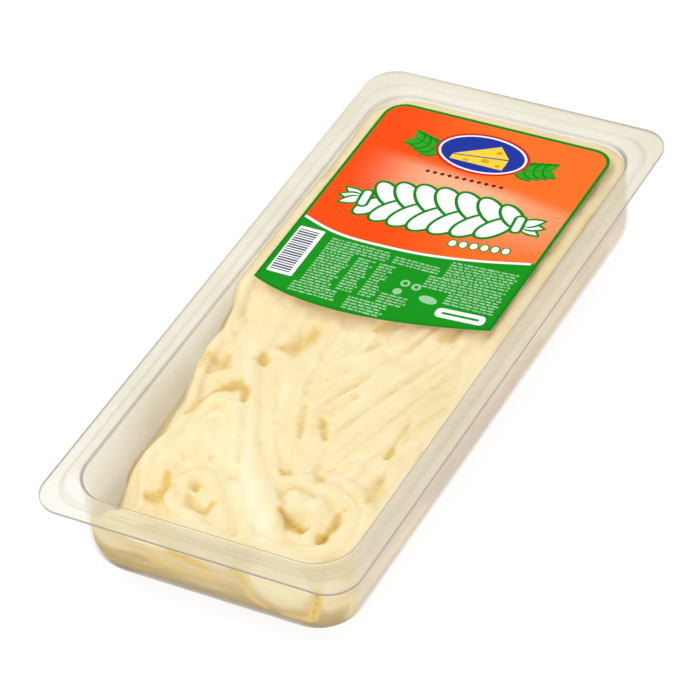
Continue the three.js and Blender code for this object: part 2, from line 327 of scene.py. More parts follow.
def finish_print(look, colour):
    """Satin ink on a slightly uneven film."""
    look.bump(look.noise(90.0), 0.08, 0.0004)
    return look.finish(colour, 0.4, Specular_IOR_Level=0.06)


def print_material(name, colour, other=None):
    """Print in one colour of ink that lies a little unevenly, or in two that run into each other."""
    look = Look(name)
    second = other or tuple(0.88 * part for part in colour[:3]) + (1.0,)
    return finish_print(look, look.mix(look.noise(220.0, 3.0), colour, second))


def orange_material():
    """Orange print, redder towards its left corner, with a soft pale band across its middle."""
    look = Look("orange_print")
    split = look.add("ShaderNodeSeparateXYZ", {0: look.place})
    across, along = split.outputs["X"], split.outputs["Y"]
    lean = look.plus(across, look.times(along, 0.35))
    base = look.mix(look.ramp(lean, -0.004, 0.04), srgb(252, 74, 4), srgb(250, 112, 34))
    drop = look.plus(along, look.times(across, 0.12))
    tall = look.times(look.ramp(drop, 0.0645, 0.0585), look.ramp(drop, 0.034, 0.056))
    fade = look.maths("SUBTRACT", 1.0, look.times(look.ramp(across, 0.004, 0.036), 0.55))
    band = look.times(tall, look.times(look.ramp(across, -0.034, -0.004), fade))
    colour = look.mix(look.times(band, 0.85), base, srgb(254, 190, 150))
    colour = look.mix(look.times(look.noise(260.0, 3.0), 0.1), colour, srgb(236, 80, 10))
    return finish_print(look, colour)


# The tray and the film ----

def mark(mesh, name, values):
    layer = mesh.attributes.new(name, "FLOAT", "POINT")
    layer.data.foreach_set("value", np.asarray(values, np.float32))


def foot_rings(inset):
    radius = FOOT_RADIUS - inset
    centre = SHEET + FOOT_RADIUS
    angles = [(1 - step / FOOT_STEPS) * math.pi / 2 for step in range(FOOT_STEPS + 1)]
    return [wall_ring(centre - radius * math.sin(angle), inset) for angle in angles]


def fold_rings(radius, flange_z, inset):
    rings = []
    for step in range(FOLD_STEPS + 1):
        angle = step / FOLD_STEPS * math.pi / 2
        ring = wall_ring(TRAY_HEIGHT - FOLD_RADIUS, inset - radius * (1 - math.cos(angle)))
        z = flange_z - radius * (1 - math.sin(angle))
        rings.append([(x, y, z) for x, y, _ in ring])
    return rings


BEAD_OUT = 3.3          # middle of the flange's bead, outside the mouth
BEAD_HALF = 0.55
BEAD_DROP = 0.35
TRAY_TOP_GAP = 0.02     # between the flange and the film that is sealed on it
RIM_BAND = 0.3          # width of the painted dark line along the cut edge
FOOT_LINE = 6.0         # which ring of the foot shows as a painted dark shade line along the near side
FOOT_LINE_SPREAD = 3.5  # and over how many rings the line fades out
INNER_SHOW = 0.6        # the wall's inner face shows less haze than its outer one
WALL_RIGHT = 0.6        # more haze on the wall's right side, partly a painted sheen where it is seen at a glancing angle
WALL_NEAR = 0.6         # less haze on its near side
WALL_NEAR_TOP = 0.35    # and less again over the heap there
LEFT_RIM = 0.8          # how much fainter the cut edge's painted line is on the left side
WALL_LEFT_FAR = 0.7     # more haze on its left side towards the label
FLANGE_LEFT = 0.5       # more haze on the flange's left side
FLANGE_RIGHT = 0.35     # and on its right side
FLANGE_FAR = 0.3        # and on its far side
FLANGE_NEAR = 0.2       # less haze on its near side


def between(ring, outer, share):
    return [tuple(a + (b - a) * share for a, b in zip(p, q)) for p, q in zip(ring, outer)]


def bead_rings(inner, outer, z):
    """Rings over the rounded bead under the flange, between two outlines, which hangs down from z."""
    rings = []
    span = HALF_WIDTH - MOUTH_WIDTH / 2
    for step in range(-3, 4):
        share = (BEAD_OUT + BEAD_HALF * step / 3) / span
        drop = BEAD_DROP * (1 + math.cos(step / 3 * math.pi)) / 2
        rings.append([(x, y, z - drop) for x, y, _ in between(inner, outer, share)])
    return rings


def mark_sheet(obj, rings, edges, shows, warms, foots):
    """The sheet's attributes, given ring by ring. On the wall, the left side and the floor are the
    yellowest and clear towards the top, the right side is the haziest, partly with a painted sheen, and
    the near side is the clearest, as its flange is. A fold's painted line, a painted reflection, is
    strongest along the near and the right side."""
    x, y, z = np.vstack(rings).T
    edge, show, warm, foot = (np.repeat(values, len(rings[0])) for values in (edges, shows, warms, foots))
    near = smooth_step(-80, -88, y)
    right = smooth_step(33, 40, x) * (1 - near)
    left = smooth_step(-33, -40, x) * (1 - near)
    far = smooth_step(82, 90, y)
    other = np.maximum(np.maximum(near, right), smooth_step(80, 90, y))
    low = smooth_step(29, 14, z)
    high = smooth_step(20, 25, z)
    on_wall = (1.15 + 1.5 * low * (1 - other) + WALL_RIGHT * right
               - near * (WALL_NEAR + WALL_NEAR_TOP * high)
               + WALL_LEFT_FAR * left * smooth_step(-60, -15, y))
    on_flange = (1 + FLANGE_LEFT * left + FLANGE_RIGHT * right + FLANGE_FAR * far
                 - FLANGE_NEAR * (near * smooth_step(-46, -38, x)))
    # the painted line is strongest along the near and the right side
    line = 0.35 + 0.65 * np.maximum(smooth_step(-70, -92, y), 0.8 * smooth_step(30, 40, x))
    rim = smooth_step(-44, -46.5, x) * (1 - near)
    marks = {
        "edge": (edge * line * (1 - LEFT_RIM * rim), 0, 0),
        "show": (show * (warm * on_wall + (1 - warm) * on_flange), shows[0], shows[-1]),
        "warm": (warm * (1 - 0.95 * other), warms[0], warms[-1]),
        # milkier on the right wall, partly a painted sheen
        "milky_sheen": (warm * right, 0, 0),
        "foot": (foot * near, 0, 0),
    }
    for name, (values, first, last) in marks.items():
        mark(obj.data, name, [*values, first, last])


def make_tray():
    top = TRAY_HEIGHT - TRAY_TOP_GAP
    underside = TRAY_HEIGHT - SHEET
    outer_wall, inner_wall = foot_rings(-SHEET), foot_rings(0)
    outer_fold = fold_rings(FOLD_RADIUS - SHEET, underside, -SHEET)
    inner_fold = fold_rings(FOLD_RADIUS, top, 0)
    rim = [rounded_ring(HALF_WIDTH - inset, HALF_LENGTH - inset, PACK_CORNER - inset, z)
           for inset, z in ((RIM_BAND, underside), (0, underside), (0, top), (RIM_BAND, top))]
    under_bead = bead_rings(outer_fold[-1], rim[1], underside)
    rings = [*outer_wall, *outer_fold, *under_bead, *rim, *inner_fold[::-1], *inner_wall[::-1]]
    # for each ring: how strongly it shows as a painted line, how yellow and how hazy it is
    wall = len(outer_wall)
    edges = [0.0] * wall + [0.1, 0.3, 0.3, 0.1, 0.0, 0.0, 0.0, 0.0, 0.0, 0.2, 0.3, 0.2, 0.3, 0.2, 0.0]
    edges += [0.0, 0.8, 0.8, 0.0, 0.0, 0.3, 0.8, 1.0, 1.0, 0.9, 0.5, 0.1] + [0.0] * wall
    warms = [1.0] * wall + [0.9, 0.8, 0.7, 0.6, 0.5, 0.4, 0.3, 0.2] + [0.0] * 11
    warms += [0.0, 0.0, 0.1, 0.2, 0.3, 0.4, 0.6, 0.8] + [1.0] * wall
    shows = [0.75] * wall + [0.8] * 8 + [1.0] * 13 + [0.9, 0.8, 0.7, 0.6, 0.5, 0.4] + [INNER_SHOW] * wall
    # the painted shade line along the near foot fades out over a few rings
    foots = [math.exp(-((step - FOOT_LINE) / FOOT_LINE_SPREAD) ** 2) for step in range(wall)]
    foots += [0.0] * (len(rings) - wall)
    points, faces = lofted(rings)
    tray = mesh_object("tray_shell", points, faces, clear_sheet, sharp_degrees=35)
    mark_sheet(tray, rings, edges, shows, warms, foots)
    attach(tray, "root")
    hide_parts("tray")


FILM_SAG = 0.25


def make_film():
    """The film is sealed flat to the flange, and sags very slightly over the mouth."""
    outline = rounded_ring(HALF_WIDTH, HALF_LENGTH, PACK_CORNER, 0.0)
    rim = wall_ring(TRAY_HEIGHT, -FOLD_RADIUS)
    middle = [(0.0, 0.0, 0.0)] * len(rim)
    thickness = FILM_HIGH_Z - FILM_LOW_Z
    span = HALF_WIDTH - MOUTH_WIDTH / 2 - FOLD_RADIUS
    # each ring of the film, how deep it dips, and how strongly it shows as a painted line
    stations = [(outline, 0.0, 0.15), (between(outline, rim, RIM_BAND / span), 0.0, 0.0)]
    for step in range(-2, 3):
        share = (span - BEAD_OUT + 1.0 + 0.45 * step / 2) / span
        dip = 0.05 * (1 + math.cos(step / 2 * math.pi)) / 2
        stations.append((between(outline, rim, share), dip, 0.3 if abs(step) < 2 else 0.0))
    stations.append((rim, 0.0, 0.0))
    for share in (0.03, 0.08, 0.2, 0.4, 0.7):
        stations.append((between(rim, middle, share), FILM_SAG * float(smooth_step(0, 0.4, share)), 0.0))
    bottom = [[(x, y, FILM_LOW_Z - dip) for x, y, _ in ring] for ring, dip, _ in stations]
    top = [[(x, y, z + thickness) for x, y, z in ring] for ring in bottom]
    rings = bottom[::-1] + top
    edges = [edge for *_, edge in stations]
    points, faces = lofted(rings)
    film = mesh_object("sealed_film", points, faces, clear_film, sharp_degrees=50)
    none = [0.0] * len(rings)
    mark_sheet(film, rings, edges[::-1] + edges, [1.0] * len(rings), none, none)
    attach(film, "root")
    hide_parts("lid_film")


# The label ----

LABEL_HALF = 36.0
LABEL_FAR = 86.4
LABEL_CORNER = 6.5
LABEL_NEAR_LEFT = 2.3
LABEL_NEAR_RIGHT = 5.3
LABEL_DIP = (-10.0, -8.5)
PRINT_BASE = 0.053      # height of layer 0 over the label's underside
LAYER_STEP = 0.007      # from one layer of print to the next
BORDER = 1.1
NEAR_EDGE_STEPS = 40
DIVIDER = [(-36, 30.9), (-27, 27.9), (-18.5, 26.5), (-6, 26.6), (6, 27.6), (20, 30.3), (36, 34.9)]


def level(layer):
    """Height of a layer of print: -1 is the bare label, 0 its border, and nothing is over 10."""
    return LABEL_BASE_Z + PRINT_BASE + layer * LAYER_STEP


def through(points, steps):
    """A smooth curve through points, as a list of points."""
    rows = np.asarray(points, float)
    padded = np.vstack([2 * rows[0] - rows[1], rows, 2 * rows[-1] - rows[-2]])
    result = []
    for i in range(len(rows) - 1):
        p0, p1, p2, p3 = padded[i:i + 4]
        for step in range(steps):
            t = step / steps
            result.append(0.5 * (2 * p1 + (p2 - p0) * t + (2 * p0 - 5 * p1 + 4 * p2 - p3) * t ** 2
                                 + (3 * p1 - p0 - 3 * p2 + p3) * t ** 3))
    result.append(rows[-1])
    return np.array(result)


def arc(x, y, radius, start, end):
    angles = np.radians(np.linspace(start, end, ARC_STEPS + 1))
    return [(x + radius * math.cos(a), y + radius * math.sin(a)) for a in angles]


def near_edge(inset):
    """The label's curved near edge from left to right, `inset` inside it."""
    half = LABEL_HALF - inset
    ends = ((-LABEL_HALF, LABEL_NEAR_LEFT), LABEL_DIP, (LABEL_HALF, LABEL_NEAR_RIGHT))
    edge = []
    for step in range(NEAR_EDGE_STEPS + 1):
        t = step / NEAR_EDGE_STEPS
        x, y = ((1 - t) ** 2 * a + 2 * t * (1 - t) * b + t * t * c for a, b, c in zip(*ends))
        edge.append((max(-half, min(half, x)), y + inset * 1.02))
    return edge


def far_corners(inset):
    radius = LABEL_CORNER - inset
    right = arc(LABEL_HALF - LABEL_CORNER, LABEL_FAR - LABEL_CORNER, radius, 0, 90)
    return right + arc(LABEL_CORNER - LABEL_HALF, LABEL_FAR - LABEL_CORNER, radius, 90, 180)


def plates(name, rows, material):
    """Flat plates, each a closed prism over an outline from one height to another."""
    points = []
    faces = []
    for outline, low, high in rows:
        count = len(outline)
        first = len(points)
        points += [(x, y, low) for x, y in outline] + [(x, y, high) for x, y in outline]
        faces.append(tuple(range(first + count - 1, first - 1, -1)))
        faces.append(tuple(range(first + count, first + 2 * count)))
        faces += [(first + i, first + j, first + count + j, first + count + i) for i, j in around(count)]
    piece = mesh_object(name, points, faces, material, smooth=False)
    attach(piece, "root")
    return piece


def print_piece(name, outlines, layer, material, low_layer=0):
    plates(name, [(outline, level(low_layer), level(layer)) for outline in outlines], material)


def stacked(name, shapes, low, high, fill_material):
    """Pairs of an edge outline and a fill outline laid one over another, each pair higher than the last."""
    step = (high - low) / (2 * len(shapes))
    for which, material in enumerate((ink["dark_green"], fill_material)):
        rows = [(pair[which], level(1), level(low + step * (2 * index + which + 1)))
                for index, pair in enumerate(shapes)]
        plates(name + ("_edge", "")[which], rows, material)


def strip(points, width):
    """Outline of a band of a width along a row of points. width may be a list."""
    rows = np.asarray(points, float)
    ways = np.gradient(rows, axis=0)
    ways /= np.linalg.norm(ways, axis=1)[:, None]
    sides = np.stack([-ways[:, 1], ways[:, 0]], axis=1) * (np.asarray(width) / 2).reshape(-1, 1)
    return [tuple(p) for p in np.vstack([rows - sides, (rows + sides)[::-1]])]


def turned(outline, x, y, degrees):
    """An outline turned about the origin and then moved to a place."""
    turn = math.radians(degrees)
    cos, sin = math.cos(turn), math.sin(turn)
    return [(x + a * cos - b * sin, y + a * sin + b * cos) for a, b in outline]


def rounded_box(x, y, width, height, radius, degrees=0.0):
    ring = rounded_ring(width / 2, height / 2, radius, 0, steps=4)
    return turned([point[:2] for point in ring], x, y, degrees)


def ellipse(x, y, width, height, degrees=0.0):
    angles = [step / OVAL_STEPS * 2 * math.pi for step in range(OVAL_STEPS)]
    outline = [(width / 2 * math.cos(angle), height / 2 * math.sin(angle)) for angle in angles]
    return turned(outline, x, y, degrees)


def leaf(x, y, length, width, degrees):
    shares = np.linspace(0, 1, 13)
    half = width / 2 * np.sin(shares * math.pi) ** 0.8 * (1.15 - 0.5 * shares)
    upper = [(length * s, h) for s, h in zip(shares, half)]
    lower = [(length * s, -h) for s, h in zip(shares[-2:0:-1], half[-2:0:-1])]
    return turned(upper + lower, x, y, degrees)


EMBLEM = (0.0, 72.8)
PLAIT_START, PLAIT_END = (-21.5, 43.6), (22.0, 48.2)
PLAIT_LOBES = 7         # in each of the plait's two rows
PLAIT_HALF = 3.9        # from the plait's middle line to the middle of a row
PLAIT_OUTLINE = 1.0
LOBE_LENGTH, LOBE_WIDTH = 14.2, 6.6         # at the plait's middle
LOBE_SLANT = 48         # degrees to the plait's middle line


def make_plait():
    """A plump white plait: two rows of lobes that lie over one another towards its right end."""
    start, end = np.array(PLAIT_START), np.array(PLAIT_END)
    way = (end - start) / np.linalg.norm(end - start)
    side = np.array([-way[1], way[0]])
    degrees = math.degrees(math.atan2(way[1], way[0]))
    tassels = []
    for (x, y), turn in ((start - way * 1.5, degrees + 180), (end + way * 1.5, degrees)):
        for spread in (-26, 0, 26):
            tassels.append((leaf(x, y, 8.2, 4.4, turn + spread), leaf(x, y, 7.0, 2.8, turn + spread)))
    stacked("print_tassel", tassels, 1.2, 2.8, ink["white"])
    lobes = []
    for step in range(2 * PLAIT_LOBES):
        share = (step + 0.5) / (2 * PLAIT_LOBES)
        row = 1 if step % 2 else -1
        swell = 0.62 + 0.38 * math.sin(math.pi * share) ** 0.6
        x, y = start + (end - start) * share + side * row * PLAIT_HALF * swell
        long, wide = LOBE_LENGTH * swell, LOBE_WIDTH * swell
        lobes.append([ellipse(x, y, long + grown, wide + grown, degrees - row * LOBE_SLANT)
                      for grown in (2 * PLAIT_OUTLINE, 0)])
    for x, y in (start - way * 1.2, end + way * 1.2):
        lobes.append((rounded_box(x, y, 4.0, 8.0, 1.7, degrees), rounded_box(x, y, 2.2, 6.4, 0.9, degrees)))
    stacked("print_plait", lobes, 2.8, 9.6, ink["white"])


def make_emblem():
    """A plain blue oval with a wedge of cheese, between two sprigs, over a row of small lozenges and a
    row of beads."""
    x, y = EMBLEM
    print_piece("print_oval_rim", [ellipse(x, y, 29.0, 17.6)], 5.0, ink["red"])
    print_piece("print_oval_ring", [ellipse(x, y, 27.2, 16.0)], 5.6, ink["white"], 5)
    print_piece("print_oval", [ellipse(x, y, 25.8, 14.8)], 6.2, ink["blue"], 5.6)
    side = [(x - 8.4, y - 4.6), (x + 8.2, y - 4.6), (x + 8.2, y - 0.1), (x - 8.4, y - 2.7)]
    face = [(x - 8.4, y - 2.3), (x + 8.2, y + 0.4), (x + 3.6, y + 5.0)]
    print_piece("print_wedge", [side, face], 7, ink["yellow"], 6.2)
    holes = [ellipse(x + 1.9, y - 2.4, 2.6, 1.7), ellipse(x + 6.2, y - 3.3, 1.6, 1.2),
             ellipse(x - 3.6, y - 3.7, 1.8, 1.0), ellipse(x + 4.3, y + 2.2, 2.0, 1.2, 20)]
    print_piece("print_wedge_holes", holes, 8, ink["amber"], 7)
    for side, name in ((-1, "print_sprig_left"), (1, "print_sprig_right")):
        leaves = []
        for step in range(4):
            start_x = x + side * (11.6 + 2.5 * step)
            start_y = y - 3.2 + 0.9 * step
            size = 7.2 - 0.5 * step
            for turn in (50, -24):
                degrees = (0 if side > 0 else 180) + side * turn
                leaves.append((leaf(start_x, start_y, size, 3.6, degrees),
                               leaf(start_x + side * 0.5, start_y, size - 1.0, 2.6, degrees)))
        stacked(name, leaves, 1.2, 4.6, ink["bright_green"])
    lozenges = []
    for step in range(-5, 6):
        cx, cy = x + step * 2.3, 61.0 + 0.06 * step
        lozenges.append([(cx - 0.85, cy), (cx, cy - 0.75), (cx + 0.85, cy), (cx, cy + 0.75)])
    print_piece("print_lozenges", lozenges, 2, ink["brown"])
    places = [(9.6 + 3.1 * step, 34.6 + 0.42 * step) for step in range(6)]
    beads = [(ellipse(cx, cy, 3.0, 3.4), ellipse(cx, cy, 2.1, 2.5)) for cx, cy in places]
    stacked("print_beads", beads, 1.2, 3.6, ink["white"])


# Blocks of fine print: from and to X, from and to Y, and the rows' slope.
PRINT_BLOCKS = [
    (-23.0, -3.5, 20.8, 24.4, 0.0), (-2.5, 12.5, 20.6, 23.6, 0.0), (-23.0, -13.2, 5.4, 20.0, 0.0),
    (-12.0, -6.4, 5.2, 19.4, 0.0), (-5.2, -0.2, 5.2, 19.4, 0.0), (-24.5, -9.5, 0.4, 4.4, 0.0),
    (-7.0, 5.4, -0.8, 4.0, 0.0), (13.5, 34.0, 20.4, 27.2, 0.07), (10.0, 34.0, 15.2, 19.8, 0.02),
    (18.6, 34.2, 10.8, 14.4, 0.02), (0.8, 10.0, 5.0, 8.6, 0.0),
]
ROW_PITCH = 1.12
DASH_HEIGHT = 0.62
SHORTEST_DASH = 0.4


def make_small_print():
    """Rows of short dashes, as fine print looks from afar, and the plain marks among them."""
    random = np.random.default_rng(5)
    dashes = []
    for x_from, x_to, y_from, y, slope in PRINT_BLOCKS:
        while y > y_from:
            x = x_from
            end = x_to - random.uniform(0, 1.5)
            while x < end:
                length = min(random.uniform(0.6, 2.2), end - x)
                middle = y + slope * (x - x_from)
                if length > SHORTEST_DASH:
                    w, h = length / 2, DASH_HEIGHT / 2 * random.uniform(0.75, 1.0)
                    cx = x + w
                    dashes.append([(cx - w, middle - h), (cx + w, middle - h),
                                   (cx + w, middle + h), (cx - w, middle + h)])
                x += length + random.uniform(0.25, 0.5)
            y -= ROW_PITCH
    print_piece("print_dashes", dashes, 2, ink["mint"])
    marks = [ellipse(5.2, 14.6, 2.8, 2.8), ellipse(8.8, 14.2, 2.8, 2.8), ellipse(4.6, 10.8, 2.6, 2.6),
             ellipse(14.2, 10.6, 5.6, 3.0, -6)]
    middles = [ellipse(5.2, 14.6, 1.4, 1.4), ellipse(8.8, 14.2, 1.2, 1.2)]
    print_piece("print_marks", marks, 2, ink["mint"])
    print_piece("print_mark_middles", middles, 3, ink["green"], 2)
    print_piece("print_pill", [rounded_box(25.6, 7.6, 14.6, 3.8, 1.5, 4.0)], 2, ink["white"])
    print_piece("print_pill_line", [rounded_box(25.6, 7.6, 11.0, 0.9, 0.4, 4.0)], 3, ink["green"], 2)


def make_stripes():
    """A pale patch with dark stripes."""
    print_piece("print_patch", [rounded_box(-30.0, 16.0, 8.0, 20.4, 0.4)], 2, ink["white"])
    stripes = [rounded_box(-30.4, 7.2 + step * 0.98, 6.2, 0.62 if step % 3 else 0.42, 0.1)
               for step in range(19)]
    print_piece("print_stripes", stripes, 3, ink["ink"], 2)


def make_label():
    base = plates("label_sheet", [(near_edge(0) + far_corners(0), LABEL_BASE_Z, level(-1))], ink["backing"])
    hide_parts("label")
    print_piece("print_border", [near_edge(0.02) + far_corners(0.02)], 0, ink["dark_green"], -1.5)
    half = LABEL_HALF - BORDER
    divider = [(max(-half, min(half, x)), y) for x, y in through(DIVIDER, 8)]
    print_piece("print_orange", [divider + far_corners(BORDER)], 1, ink["orange"])
    print_piece("print_green", [near_edge(BORDER) + divider[::-1]], 1, ink["green"])
    print_piece("print_divider", [strip(divider[1:-1], 0.9)], 2, ink["white"])


# The cheese ----

def left_clearance(y):
    """How far the heap's top stands in from the tray's left wall."""
    places, gaps = zip(*LEFT_EDGE)
    y = np.asarray(y, float)
    return sum(np.interp(y + step, places, gaps) for step in (-3, -1, 1, 3)) / 4


def corner_dip(x, y):
    """How far the heap's top drops in the near left corner."""
    return 6.5 * smooth_step(-19, -32, x) * smooth_step(-71, -82, y)


def left_shift(x, y, z):
    """How far the heap's left side stands in from the wall: nothing at its foot, and most at its top.
    In the near corner the cheese lies against the wall further up."""
    start = 7 - 5 * smooth_step(-60, -68, y) + 13 * smooth_step(-79, -87, y)
    share = np.clip(-np.asarray(x) / (MOUTH_WIDTH / 2), 0, 1) ** 2
    return left_clearance(y) * smooth_step(start, 23, z) * share


# Hollows and creases between the strands, filled with painted yellow shade: width, depth, how dark, and
# route.
CREASES = [
    (1.5, 1.0, 0.62, [(-26.4, -39.3), (-24.1, -35.8), (-21.0, -34.4), (-17.3, -36.4), (-15.9, -40.0)]),
    (1.2, 0.5, 0.40, [(-28.9, -49.6), (-27.9, -44.5), (-26.4, -39.3)]),
    (1.9, 1.0, 0.52, [(-20.3, -21.2), (-19.1, -24.0)]),
    (2.8, 1.1, 0.42, [(-17.3, -15.6), (-14.3, -14.2), (-12.8, -9.8), (-12.1, -6.7)]),
    (1.5, 0.5, 0.20, [(-15.4, -39.8), (-12.4, -46.3), (-9.5, -53.6), (-5.6, -61.1)]),
    (1.2, 0.5, 0.25, [(-14.3, -61.4), (-13.1, -62.4)]),
    (1.3, 1.1, 0.55, [(-12.9, -72.0), (-11.6, -73.8)]),
    (1.6, 0.7, 0.42, [(-12.8, -76.1), (-9.9, -79.3), (-6.4, -80.1), (-4.3, -77.1)]),
    (1.7, 1.0, 0.56, [(-25.1, -77.8), (-21.6, -78.8), (-19.9, -76.0), (-21.7, -71.6)]),
    (1.8, 0.4, 0.44, [(6.6, -59.0), (8.6, -59.6)]),
    (1.8, 0.4, 0.46, [(16.4, -58.4), (18.2, -59.0)]),
    (1.0, 0.5, 0.30, [(18.9, -52.6), (16.7, -53.4)]),
    (1.1, 0.8, 0.32, [(0.1, -35.0), (2.1, -40.3), (4.1, -45.6)]),
    (1.1, 1.0, 0.45, [(6.4, -37.1), (8.5, -40.1), (10.7, -43.7)]),
    (1.0, 0.5, 0.38, [(10.8, -26.5)]),
    (0.9, 0.5, 0.30, [(7.8, -34.3)]),
    (1.5, 0.25, 0.30, [(11.0, -68.6), (11.2, -66.2), (12.6, -64.6), (14.6, -64.6), (16.4, -65.6),
        (19.6, -66.0)]),
    (1.5, 0.6, 0.80, [(13.9, -73.2), (16.8, -74.7), (19.4, -75.9), (22.3, -76.4)]),
    (1.1, 0.7, 0.62, [(27.9, -68.2), (28.7, -71.5), (28.3, -75.4)]),
    (1.05, 0.6, 0.90, [(28.4, -75.8), (27.8, -79.2)]),
    (0.8, 0.5, 0.42, [(29.4, -66.8)]),
    (1.8, 0.6, 0.42, [(33.6, -61.9), (32.9, -56.4), (32.3, -52.2)]),
    (1.1, 0.8, 0.56, [(30.1, -45.0), (29.5, -40.8)]),
    (0.8, 0.5, 0.32, [(29.5, -40.8), (29.5, -35.5), (29.3, -29.6)]),
    (1.7, 0.3, 0.30, [(-34.3, -31.5), (-35.3, -26.7), (-31.1, -27.0), (-29.5, -24.8), (-26.9, -28.8)]),
    (1.5, 0.7, 0.36, [(4.5, -2.1), (5.9, -0.1), (8.0, 2.5)]),
    (1.5, 0.7, 0.36, [(22.9, 0.9), (25.1, 3.9), (27.0, 6.8)]),
    (0.8, 0.4, 0.22, [(30.7, -9.4), (25.1, -28.2), (18.2, -50.2)]),
    (0.8, 0.4, 0.22, [(27.4, 0.1), (19.1, -20.7), (11.9, -40.8)]),
    (0.8, 0.4, 0.20, [(22.0, 7.0), (11.4, -13.4), (4.7, -31.5)]),
    (0.8, 0.4, 0.24, [(35.9, -21.2), (30.7, -34.2), (25.3, -49.1)]),
]

# The palest ribbon's route, partly its own paler colour and partly a painted highlight, the knot's middle,
# where a little painted shade lies, and the two painted highlights on the knot.
PALE_RIBBON = [(-26.0, -17.0), (-21.6, -27.9), (-16.8, -38.4), (-11.1, -49.9), (-3.7, -61.9), (4.8, -73.2),
               (15.3, -83.3)]
KNOT = (19.0, -68.0)
KNOT_HIGHLIGHTS = [(14.5, -68.6), (20.8, -68.3)]


def route_distance(x, y, route):
    """Distance in plan from each point to a route of straight pieces, and the place along it, 0 to 1."""
    rows = np.asarray(route, float)
    best = np.hypot(x - rows[0, 0], y - rows[0, 1])
    place = np.full_like(best, 0.5 if len(rows) == 1 else 0.0)
    for index, (first, second) in enumerate(zip(rows[:-1], rows[1:])):
        way = second - first
        share = np.clip(((x - first[0]) * way[0] + (y - first[1]) * way[1]) / (way ** 2).sum(), 0, 1)
        away = np.hypot(x - first[0] - share * way[0], y - first[1] - share * way[1])
        place = np.where(away < best, (index + share) / (len(rows) - 1), place)
        best = np.minimum(best, away)
    return best, place


def creases(x, y, uneven):
    """The depth of the creases at each point, and how dark their painted shade is there. uneven is smooth
    noise.
    """
    drop = np.zeros_like(x)
    dark = np.zeros_like(x)
    for width, depth, tone, route in CREASES:
        away, place = route_distance(x, y, route)
        local = width * (0.55 + 0.45 * np.sin(math.pi * place)) * (1 + 0.7 * uneven)
        away = np.maximum(away + 0.5 * width * uneven, 0)
        drop = np.maximum(drop, depth * bell(away, 1.2 * local))
        soft = 0.62 * bell(away, 1.9 * local) + 0.38 * bell(away, 0.85 * local)
        dark = np.maximum(dark, tone * soft)
    return drop, dark


def bell(away, width):
    return np.exp(-(away / width) ** 2)


def smooth_noise(points, scale):
    """Smooth noise of about -1 to 1 at each point."""
    return np.array([perlin(Vector(point) * scale) for point in points])


# Folds pressed flat against the near wall, painted paler as if lit and with less painted shade: middle X and
# Z, half width, half height, tilt and how much paler.
NEAR_FOLDS = [
    (22.6, 19.4, 10.2, 9.4, 12.0, 1.0), (37.2, 18.2, 4.4, 6.8, -20.0, 0.9),
    (-18.5, 19.8, 11.0, 1.9, -4.0, 0.8), (-29.6, 15.4, 6.0, 2.2, -7.0, 0.45),
    (-0.6, 10.4, 7.6, 1.4, 0.0, 0.35), (-24.0, 11.5, 8.0, 1.2, -4.0, 0.3), (2.5, 20.4, 5.5, 2.4, -3.0, 0.6),
]

# Hollows between those folds, filled with painted yellow shade, as width, how dark, and route in X and Z.
NEAR_HOLLOWS = [
    (1.5, 0.70, [(-10.6, 18.0), (-5.7, 17.3), (-0.7, 16.0)]),
    (1.4, 0.65, [(8.7, 18.4), (10.4, 16.9), (11.6, 14.2)]),
    (1.2, 0.50, [(11.6, 14.2), (13.4, 10.8), (17.0, 8.2)]),
    (1.3, 0.80, [(33.2, 18.6), (32.4, 13.9), (31.0, 9.8)]),
    (1.6, 0.55, [(31.0, 9.8), (29.0, 8.0), (22.0, 7.0)]),
    (1.2, 0.40, [(-18.0, 13.6), (-9.0, 13.0), (2.0, 13.2)]),
]


def near_hollow(x, z):
    dark = np.zeros_like(x)
    for width, tone, route in NEAR_HOLLOWS:
        away, _ = route_distance(x, z, route)
        dark = np.maximum(dark, tone * bell(away, width))
    return dark


def near_fold(x, z):
    best = np.zeros_like(x)
    for middle_x, middle_z, half_x, half_z, tilt, strength in NEAR_FOLDS:
        turn = math.radians(tilt)
        across = (x - middle_x) * math.cos(turn) + (z - middle_z) * math.sin(turn)
        upward = (z - middle_z) * math.cos(turn) - (x - middle_x) * math.sin(turn)
        away = np.hypot(across / half_x, upward / half_z)
        best = np.maximum(best, strength * smooth_step(1.25, 0.7, away))
    return best


def heap_top(x, y):
    """Height of the middle of the strands that lie on top of the heap."""
    x = np.asarray(x, float)
    y = np.asarray(y, float)
    edge = left_clearance(y) - MOUTH_WIDTH / 2
    fallen = 1 - smooth_step(edge - 4, edge + 8, x)
    fallen = fallen * (1 - 0.8 * smooth_step(-20, 4, y))
    swell = np.sin(x * 0.11 + 0.6) * np.cos(y * 0.07 + 0.4)
    rise = COVERED_RISE * smooth_step(-9, 6, y)
    return HEAP_HEIGHT - 1.0 - 4 * fallen + 0.6 * swell + rise - corner_dip(x, y)


TURN = 6.28             # about a whole turn, for random phases
STRAND_STEP = 1.2       # between the points of a strand's line
STRAND_SIDES = 14
STRAND_RIBS = 5
RIB_DEPTH = 0.05        # as a share of the strand's width
STRAND_SWELL = 0.12     # how much its width comes and goes
BOXINESS = 0.85         # 1 is a round section, and less is squarer
WALL_REACH = 0.2        # how far a strand may press into the wall
SKIN_REACH = 0.12       # how far the finished cheese reaches into the wall, so that no gap shows
SKIN_LEAST = 0.07       # and at the very least
SKIN_RELIEF = 0.1       # how much of the strands' relief is left where they are pressed flat there
FLOOR_Z = SHEET - 0.15
HEAP_LIMIT = 28.6


